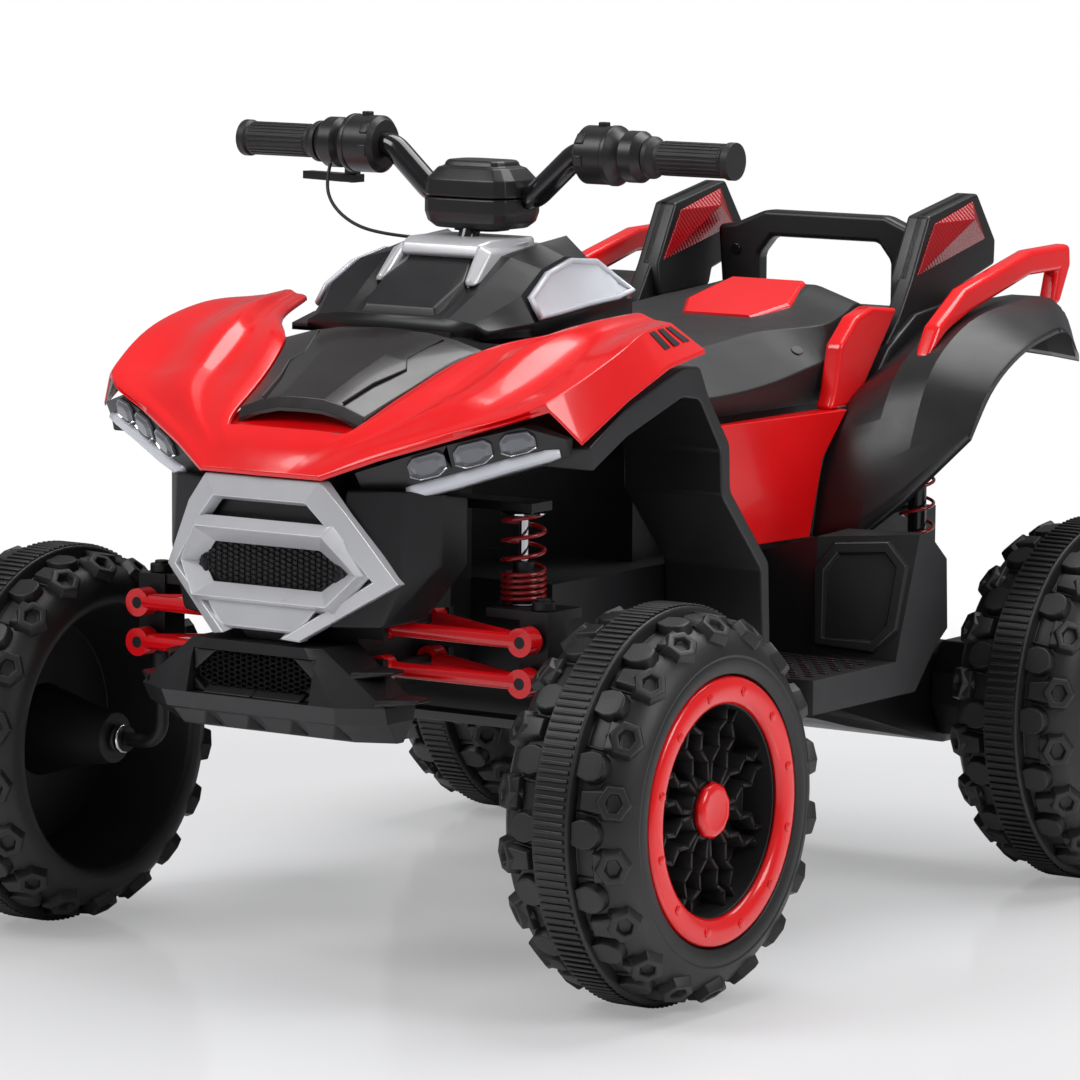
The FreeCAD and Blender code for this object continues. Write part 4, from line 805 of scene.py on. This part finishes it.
lens_bm = bmesh.new()
rim_bm = bmesh.new()
for start, stop in LENS_SPANS:
    corners = [(start + LENS_CUT, 0.46), (stop - LENS_CUT, 0.46), (stop, 0.58), (stop, 0.82),
               (stop - LENS_CUT + 2, 0.95), (start + LENS_CUT - 2, 0.95), (start, 0.82), (start, 0.58)]
    rim = [lamp_face(x, share) for x, share in corners]
    outward = (rim[1] - rim[0]).cross(rim[5] - rim[0]).normalized()
    if outward.y > 0:
        outward = -outward
    centre = sum(rim, Vector()) / len(rim)
    slab(lens_bm, [place(*(p + outward * 0.3)) for p in rim], outward * 0.003)
    lump(lens_bm, [place(*(p + outward * 2.5)) for p in rim]
         + [place(*(centre + (p - centre) * 0.62 + outward * 5.5)) for p in rim])
    for a, b in ((7, 0), (0, 1), (1, 2)):
        bar(rim_bm, rim[a] + outward * 0.3, rim[b] + outward * 0.3, 2.6, 4.6, outward, 0.5)
light_bm = bmesh.new()
ridge(light_bm, [(lamp_face(x, share), half, 5.0) for x, share, half in LIGHT_BAR], ROUND, LIGHT_OUT)
both_sides(light_bm)
piece("light_bar_covers", light_bm, clear_lamp, "chassis", "light_bars")
soften(lens_bm, 0.5, 1, 20)
both_sides(lens_bm)
both_sides(rim_bm)
piece("headlamp_glass", lens_bm, grey_lens, "chassis", "headlamp_lenses")
piece("headlamp_rims", rim_bm, bright, "chassis")

# %% [markdown]
# ## Honeycomb meshes
# Behind the grille and in the bumper slot sits a black honeycomb.  One hexagonal cell is a circle of six
# corners, inset and given walls, and it is stamped over the openings.  A pattern in a material would be
# lighter, but real walls still read from the side.  A thin black plate closes the view behind each, in a
# darker black than the walls: painted shade deep in the cells.

# %% Honeycomb
CELL = 2.5
STRETCH = 1.6
WALL = 0.7
COMB_DEPTH = 5
BACK_DEPTH = 0.4
OPENINGS = ((-481, 329, 364, 50, 71), (-501, 243, 275, 42, 62))


def honeycomb_cell():
    """One stretched hexagonal cell with walls."""
    bm = bmesh.new()
    bmesh.ops.create_circle(bm, cap_ends=True, segments=6, radius=CELL * MM,
                            matrix=Matrix.Rotation(math.pi / 2, 4, "X"))
    bmesh.ops.inset_individual(bm, faces=bm.faces[:], thickness=WALL * MM)
    bmesh.ops.delete(bm, geom=[f for f in bm.faces if len(f.verts) == 6], context="FACES_ONLY")
    push(bm, bm.faces[:], (0, COMB_DEPTH * MM, 0))
    bmesh.ops.scale(bm, verts=bm.verts, vec=(STRETCH, 1, 1))
    return small_mesh(bm)


cell = honeycomb_cell()
comb = bmesh.new()
painted_shade_backs = bmesh.new()
step_x = CELL * 1.5 * STRETCH
step_z = CELL * math.sqrt(3)
for y, low, high, flat, half in OPENINGS:
    centre = (low + high) / 2
    columns = int(half / step_x)
    for column in range(-columns, columns + 1):
        x = column * step_x
        reach = (high - low) / 2 * min(1, (half - abs(x)) / (half - flat))
        z = low + (step_z / 2 if column % 2 else 0)
        while z < high:
            if abs(z - centre) < reach:
                stamped(comb, cell, [Matrix.Translation(place(x, y, z))])
            z += step_z
    back = y + COMB_DEPTH
    block(painted_shade_backs, (-half, half), (back, back + BACK_DEPTH), (low, high))
piece("honeycomb", comb, black, "chassis", "grille_meshes")
# The backing plates take a darker black than the honeycomb walls, as painted shade deep in the cells.
piece("mesh_backs_painted_shade", painted_shade_backs, deep_black, "chassis")

# %% [markdown]
# ## Hood
# The hood is one flowing moulding.  Rows of places run from the nose back over each wing; each row is
# swelled into a rolled lip beside the recess, a crest and a shallow dish, and smooth rows are laid
# between them.  It could be sculpted, but rows keep both sides alike and are easy to move.  The smoked
# panel is a visor that stops short of the nose, so a red floor shows in front of it.  Two fine dark
# lines run along the visor.  Three plain slanted bars mark the wing's rear.

# %% Hood
NOSE = [[(26, -497, 426), (42, -497, 426), (59, -497, 426), (61, -497, 425.5)],
        [(44, -478, 446), (70, -475, 445.5), (98, -474, 444), (102, -474, 442.5)]]
WING = [[(60, -459, 458), (100, -453, 460.5), (140, -452, 458.5), (143.5, -452, 456.5)],
        [(73, -408, 482), (140, -408, 487), (222, -408, 489), (225, -408, 485)],
        [(77, -390, 490), (145, -390, 494), (228, -390, 497), (245, -390, 458)],
        [(98, -330, 516), (155, -330, 524), (237, -330, 522), (251, -330, 490)],
        [(144, -270, 530), (170, -270, 538), (228, -270, 538), (252, -270, 512)],
        [(163, -209, 542), (180, -209, 546), (215, -209, 540), (248, -209, 520)]]
SWELL = [0, 0.1, 0.4, 0.9, 1, 1, 0.8, 0.2]
CENTRE = [[(0, -498, 426), (0, -480, 446.5), (0, -461, 459)],
          [(13, -497.5, 426), (22, -480, 446.5), (32, -461, 459)]]
RECESS_FLOOR = [(74, -464, 449), (77, -400, 474), (98, -330, 502)]
STEPS = 6


def swelled(row, amount):
    """The places across the hood in one row: lip, valley, crest, dish and border."""
    lip, crest, border = [Vector(p) for p in row[:3]]
    lift = Vector((0, 0, amount))
    rolled = lip.lerp(crest, 0.22) + lift * 3
    valley = lip.lerp(crest, 0.66) - lift * 2
    dish = crest.lerp(border, 0.5) - lift * 4
    brim = crest.lerp(border, 0.86)
    return curve([lip, rolled, valley, crest + lift * 5, dish, brim, border], 3)


hood_rows = flow([swelled(row, amount) for row, amount in zip(NOSE + WING, SWELL)], STEPS)
edges = [Vector(row[-1]) for row in NOSE + WING]
edge_run = [a.lerp(b, k / STEPS) for a, b in zip(edges, edges[1:]) for k in range(STEPS)] + [edges[-1]]
for row, edge in zip(hood_rows, edge_run):
    row.append(edge)
hood_bm = bmesh.new()
sheet(hood_bm, hood_rows)
middle_columns = [curve(column, STEPS) for column in CENTRE]
sheet(hood_bm, [[a, b, row[0]] for a, b, row in zip(*middle_columns, hood_rows)])
both_sides(hood_bm)
thicken(hood_bm, (0, 1, -4))
soften(hood_bm, 1.4, 3, 40)
recess_bm = bmesh.new()
sheet(recess_bm, [[(-x, y, z), (x, y, z)] for x, y, z in RECESS_FLOOR])
thicken(recess_bm, (0, 0, -2))
hood_bm.from_mesh(small_mesh(recess_bm))
piece("hood_skin", hood_bm, red, "chassis", "hood")

# %% Smoked panel
VISOR = [(-438, 63, 470, 22, 482, 482.5), (-390, 74, 490, 28, 503.5, 504.5),
         (-330, 96, 516, 42, 527.5, 529), (-321, 102, 518, 46, 530, 532)]
VISOR_LINE = [(64, -327, 525.6), (52, -362, 510.8), (60, -374, 503.6), (48, -404, 493.5), (41, -437, 479.6)]
visor_bm = bmesh.new()
visor_rows = []
for y, outer, low, inner, high, crown in VISOR:
    bulge = ((inner + outer) / 2, y, (low + high) / 2 + 1.5)
    skirt = (outer + 3, y, low - 13)
    visor_rows.append([(0, y, crown), (inner, y, high), bulge, (outer, y, low), skirt])
visor_rows = flow(visor_rows, 5)
front_row = [(x, y - 3, z - 9) for x, y, z in visor_rows[0]]
sheet(visor_bm, [front_row] + visor_rows)
both_sides(visor_bm)
thicken(visor_bm, (0, 0.5, -3.5))
soften(visor_bm, 1.4, 2, 9)
piece("smoked_visor", visor_bm, smoked, "chassis", "hood_panel")
line_bm = bmesh.new()
ridge(line_bm, [(spot, 0.9, 1.4) for spot in VISOR_LINE], FLAT, (0.3, -0.4, 0.86))
both_sides(line_bm)
piece("visor_lines", line_bm, deep_black, "chassis")

# %% Wing bars
def wing_side(y, share):
    """A place on the outer side of the left wing."""
    for near, far in zip(hood_rows, hood_rows[1:]):
        if near[-1].y <= y <= far[-1].y:
            t = (y - near[-1].y) / (far[-1].y - near[-1].y)
            return near[-2].lerp(far[-2], t).lerp(near[-1].lerp(far[-1], t), share)


mark_bm = bmesh.new()
for near, far in ((-266, -256), (-248, -238), (-230, -220)):
    corners = ((near, 0.08), (far, 0.08), (far + 4, 0.62), (near + 4, 0.62))
    quad = [wing_side(y, share) + Vector((0.2, 0, 0.15)) for y, share in corners]
    slab(mark_bm, [place(*p) for p in quad], Vector((0.0006, 0, 0.0004)))
both_sides(mark_bm)
piece("wing_bars", mark_bm, deep_black, "chassis")

# %% [markdown]
# ## Grille
# The silver grille is a painted moulding of two steps: an outer hexagon that ends in two prongs, and a
# hexagonal ledge inside it that slopes in to the mesh.  An inset hexagon would be equally wide all
# round, so each step is a chain of four-cornered sections instead.  An apron closes the bottom between
# the prongs.

# %% Grille
OUTER_HALF = [[(58, -493, 421), (47, -498, 403), (44, -487, 399), (60, -481, 421)],
              [(80, -487, 396), (63, -494, 386), (58, -485, 383), (80, -478, 396)],
              [(118, -466, 338), (101, -478, 340), (95, -468, 341), (118, -454, 338)],
              [(44, -501, 289), (30, -506, 291), (27, -493, 294), (42, -487, 289)]]
LEDGE_HALF = [[(70, -491, 386), (65, -501, 377), (53, -485, 363), (60, -479, 376)],
              [(98, -473, 346), (90, -485, 345), (72, -475, 345), (84, -464, 345)],
              [(72, -488, 312), (68, -499, 319), (55, -485, 330), (62, -479, 320)]]


def far_side(sections):
    """The sections of the other half, in reverse, so that a chain runs on across the middle."""
    return [[(-x, y, z) for x, y, z in section] for section in reversed(sections)]


grille_bm = bmesh.new()
from_prong = OUTER_HALF[::-1]
join(grille_bm, from_prong + far_side(from_prong))
lump(grille_bm, across_middle(((56, -494, 316), (56, -481, 320), (34, -499, 297), (34, -484, 294),
                               (40, -496, 294))))
soften(grille_bm, 1.1, 2, 15)
ledge_bm = bmesh.new()
join(ledge_bm, LEDGE_HALF + far_side(LEDGE_HALF), closed=True)
soften(ledge_bm, 0.7, 2, 15)
grille_bm.from_mesh(small_mesh(ledge_bm))
piece("grille_skin", grille_bm, silver, "chassis", "grille_frame")

# %% [markdown]
# ## Bumper details
# The slot has slanted ends, two fins stand out at each side, and the lower edge is scalloped.  Behind
# the grille, dark cheeks fill the corners between the nose and the wings.  All of these are faceted
# blocks, so a hull round a few corners is enough for each.

# %% Bumper details
SLOT_END = 62.2
SLOT_SILL = ((-509, 240), (-492, 240), (-498, 247), (-492, 248))
SCALLOP = ((19, -506, 227), (11, -497, 211), (15, -474, 207))
bumper_bm = bmesh.new()
for tip, run, rise in ((276, 24, -20), (240, 14, 12)):
    corner = ((SLOT_END, tip), (SLOT_END - run, tip), (SLOT_END, tip + rise))
    lump(bumper_bm, [place(x, y, z) for y in (-503, -490.9) for x, z in corner])
lump(bumper_bm, [place(x, y, z) for x in (0, 50) for y, z in SLOT_SILL])
for inner, outer, z in ((92, 116, 264), (116, 142, 243)):
    lump(bumper_bm, [place(x, y, z + dz) for x, y, dz in (
        (inner, -497, -3), (inner, -497, 4), (inner, -450, -3), (inner, -450, 4),
        (outer, -470, 0), (outer, -470, 3), (outer, -452, 0), (outer, -452, 3))])
for x in (22, 66):
    lump(bumper_bm, [place(x + side, y, z) for half, y, z in SCALLOP for side in (-half, half)])
soften(bumper_bm, 1.8, 2, 20)
both_sides(bumper_bm)
piece("bumper_details", bumper_bm, black, "chassis")

# %% Nose cheeks
cheek_bm = bmesh.new()
lump(cheek_bm, [place(*p) for p in (
    (72, -476, 414), (116, -456, 414), (140, -432, 412), (118, -458, 345), (138, -434, 352), (146, -405, 350),
    (62, -486, 300), (100, -466, 300), (122, -432, 306), (146, -405, 408), (60, -450, 300), (60, -450, 412))])
soften(cheek_bm, 3, 2, 20)
both_sides(cheek_bm)
piece("nose_cheeks", cheek_bm, deep_black, "chassis")

# %% [markdown]
# ## Shroud details
# Between the legs of the silver trim a stepped panel runs down to the visor, and the trim has a raised
# brow.  They are hulls as well, laid over the plain solids, whose edges they soften.

# %% Shroud details
step_bm = bmesh.new()
lump(step_bm, across_middle(((30, -235, 588), (41, -264, 570), (35, -300, 549), (34, -233, 580),
                             (45, -264, 560), (40, -303, 540))))
bmesh.ops.dissolve_limit(step_bm, angle_limit=0.02, verts=step_bm.verts, edges=step_bm.edges)
soften(step_bm, 1.6, 2, 15)
piece("shroud_step", step_bm, black, "chassis")
brow_bm = bmesh.new()
lump(brow_bm, across_middle(((38, -243, 589), (39, -240, 598), (43, -226, 602), (46, -165, 602),
                             (46, -165, 588), (54, -190, 590), (48, -238, 586))))
for sign in (1, -1):
    lump(brow_bm, [place(x * sign, y, z) for x, y, z in (
        (41, -266, 565), (52, -264, 565), (46, -265, 571), (37, -242, 586), (39, -240, 598), (51, -238, 592),
        (56, -192, 586), (53, -192, 594))])
soften(brow_bm, 2, 3, 20)
piece("trim_brow", brow_bm, silver, "chassis")

# %% [markdown]
# ## Bar details
# The clamp is two faceted shells with rounded corners and a seam at the bar.  Rounded rectangles are
# joined up its height, which gives each facet its own slope.  The pods carry a collar and switch lugs,
# and the grips are ribbed so that small hands hold.

# %% Clamp caps
BAR_Y = -175
BAR_Z = 675
CAP_Y = BAR_Y - 3
CORNERS = 16
CAP_LOWER = [(22, 605.8, -17), (22, 607.4, -17), (37, 608.5, -27), (43.5, 614, -33), (46, 622, -35),
             (46, 633, -35), (45, 634.6, -34)]
CAP_UPPER = [(45, 635.6, -34), (46, 637, -35), (44.5, 650, -33.5), (36, 660, -26), (31, 661.5, -22),
             (30, 664.8, -21), (28, 666.5, -19)]


def rounded(half, front, back, z):
    """A rounded rectangle at one height on the drawing."""
    loop = []
    for i in range(CORNERS):
        a = 2 * math.pi * (i + 0.5) / CORNERS
        along = math.copysign(abs(math.cos(a)) ** 0.5, math.cos(a))
        across = math.copysign(abs(math.sin(a)) ** 0.5, math.sin(a))
        loop.append((half * along, (front + back) / 2 + (back - front) / 2 * across, z))
    return loop


for name, levels in (("cap_lower", CAP_LOWER), ("cap_upper", CAP_UPPER)):
    cap_bm = bmesh.new()
    join(cap_bm, [rounded(half, CAP_Y + reach, CAP_Y - reach, z) for half, z, reach in levels])
    soften(cap_bm, 1.0, 2, 12, 75)
    piece(name + "_skin", cap_bm, black, "steering", name)

# %% Pod collars and grip ribs
COLLAR = [(133, 24.5), (133, 25.4), (134, 25.8), (137, 25.8), (138, 25.4), (138, 24.5)]
GRIP_RIB = [(184, 1.2, 13.6), (184, 0.7, 14.7), (216, 1.0, 14.7), (244, 0.7, 14.7), (244, 1.2, 13.6)]
GRIP_RIBS = 24
bar_middle = place(0, BAR_Y, BAR_Z)
bar_place = Matrix.Translation(bar_middle)
collars = bmesh.new()
ring(collars, COLLAR, 48, bar_middle)
for angle in (55, 100):
    lug = bmesh.new()
    lump(lug, metres([(x, y, z) for x in (108, 116) for y in (-5, 5) for z in (22, 26.5)]))
    soften(lug, 1.2, 2, 30)
    stamped(collars, small_mesh(lug), [bar_place @ Matrix.Rotation(math.radians(angle), 4, "X")])
both_sides(collars)
piece("pod_collars", collars, black, "steering")
rib_bm = bmesh.new()
lump(rib_bm, metres([(x, y, z) for x, half, z in GRIP_RIB for y in (-half, half)]))
grip_rib = small_mesh(rib_bm)
grip_bm = bmesh.new()
stamped(grip_bm, grip_rib, [bar_place @ turn for turn in around(GRIP_RIBS)])
both_sides(grip_bm)
piece("grip_ribs", grip_bm, rubber, "steering")

# %% [markdown]
# ## Rear wall of the footwell
# The wall behind the step carries a framed panel, as a stiffening pressing in the moulding.  A closed
# ridge that follows the wall's slant makes the frame without cutting the wall.

# %% Footwell wall
FRAME = [(212, 0.12), (262, 0.10), (277, 0.26), (277, 0.74), (262, 0.90), (222, 0.90), (209, 0.72)]


def wall(x, share):
    """A place on the wall's front face, share 0 at the step and 1 at the top."""
    t = (x - 205) / 81
    low = Vector((x, 40 + 8 * t, 230))
    top = Vector((x, 47 + 39 * t, 334 + 4 * t))
    return low.lerp(top, share)


panel_bm = bmesh.new()
ridge(panel_bm, [(wall(x, share), 7, 5) for x, share in FRAME], FLAT, (0.2, -0.95, 0.2), closed=True)
soften(panel_bm, 0.8, 2, 20)
both_sides(panel_bm)
piece("footwell_panels", panel_bm, black, "chassis")

# %% [markdown]
# ## Tread on the footboards
# The step is covered with short raised dashes so that a wet shoe holds.  Bump could draw them, but raised
# ones are real edges in the mesh.

# %% Footboard tread
TREAD_ROWS = 11
TREAD_COLUMNS = 7
TREAD_STEP = 16
STEP_TOP = 229.8
dash_bm = bmesh.new()
lump(dash_bm, [Vector((x, y, 0)) for x in (-0.0045, 0.0045) for y in (-0.0016, 0.0016)]
     + [Vector((x, y, 0.0016)) for x in (-0.0038, 0.0038) for y in (-0.001, 0.001)])
dash = small_mesh(dash_bm)
tread = bmesh.new()
for row in range(TREAD_ROWS):
    for column in range(TREAD_COLUMNS):
        x = 168 + TREAD_STEP * column + (TREAD_STEP / 2 if row % 2 else 0)
        stamped(tread, dash, [Matrix.Translation(place(x, -84 + 11 * row, STEP_TOP))])
both_sides(tread)
piece("step_tread", tread, black, "chassis")

# %% [markdown]
# ## Small metal
# The front springs sit between plated cups, a plated bolt stands beside the lower one, and a plated nut
# holds each stub axle behind the hub.

# %% Plated cups and nuts
SHOCK_X = 162
SHOCK_Y = -349
NUT = [(236, 6.3), (236, 12), (238, 13), (243, 13), (245, 12), (245, 6.3)]
for side, sign in (("left", 1), ("right", -1)):
    shock = place(SHOCK_X * sign, SHOCK_Y, 0)
    cups = bmesh.new()
    disc(cups, 32, 0.019, 0.020, 0.002, Matrix.Translation(shock + Vector((0, 0, 0.3152))))
    disc(cups, 6, 0.008, 0.0075, 0.006, Matrix.Translation(place(182 * sign, SHOCK_Y, 317)))
    piece(f"lower_cup_{side}", cups, bright, f"upright_{side}")
    cups = bmesh.new()
    disc(cups, 32, 0.020, 0.018, 0.0022, Matrix.Translation(shock + Vector((0, 0, 0.3907))))
    piece(f"upper_cup_{side}", cups, bright, "chassis")
    nut = bmesh.new()
    ring(nut, NUT, 12)
    bmesh.ops.translate(nut, verts=nut.verts, vec=Vector((0, -0.3595, 0.165)))
    if sign < 0:
        bmesh.ops.transform(nut, matrix=Matrix.Scale(-1, 4, (1, 0, 0)), verts=nut.verts)
    piece(f"stub_nut_{side}", nut, bright, f"knuckle_{side}")

# %% [markdown]
# ## Throttle cable
# A thin sheathed cable leaves the right-hand pod and hangs in one slack curve to the shroud.  Straight
# runs with rounded corners would look like bent wire, so it is a single smooth spline with the route's
# points as its control points.  It runs between the turning bar and the fixed shroud and rides on neither.

# %% Throttle cable
CABLE_RADIUS = 0.0015
ROUTE = [(-152, -190, 657.3), (-151, -199, 640), (-138, -206, 621), (-114, -207, 606), (-86, -202, 599.5),
         (-62, -195, 597.8)]
route_curve = bpy.data.curves.new("cable_route", "CURVE")
route_curve.dimensions = "3D"
route_curve.bevel_resolution = 4
route_curve.use_fill_caps = True
route_curve.resolution_u = 12
spline = route_curve.splines.new("NURBS")
spline.points.add(len(ROUTE) - 1)
for point, knot in zip(spline.points, ROUTE):
    point.co = place(*knot).to_4d()
spline.order_u = 3
spline.use_endpoint_u = True
route = bpy.data.objects.new("cable_route", route_curve)
scene.collection.objects.link(route)


def route_mesh(thickness):
    """The route as a bare line, or as a tube of that radius."""
    route_curve.bevel_depth = thickness
    bpy.context.view_layer.update()
    drawn = route.evaluated_get(bpy.context.evaluated_depsgraph_get())
    return bpy.data.meshes.new_from_object(drawn)


centreline = [v.co.copy() for v in route_mesh(0.0).vertices]
sheath = route_mesh(CABLE_RADIUS)
bpy.data.objects.remove(route)
sheath.materials.clear()
sheath.materials.append(rubber)
cable = bpy.data.objects.new("throttle_cable_sheath", sheath)
scene.collection.objects.link(cable)
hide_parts("throttle_cable")
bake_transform(cable)
print("cable points:", len(centreline))
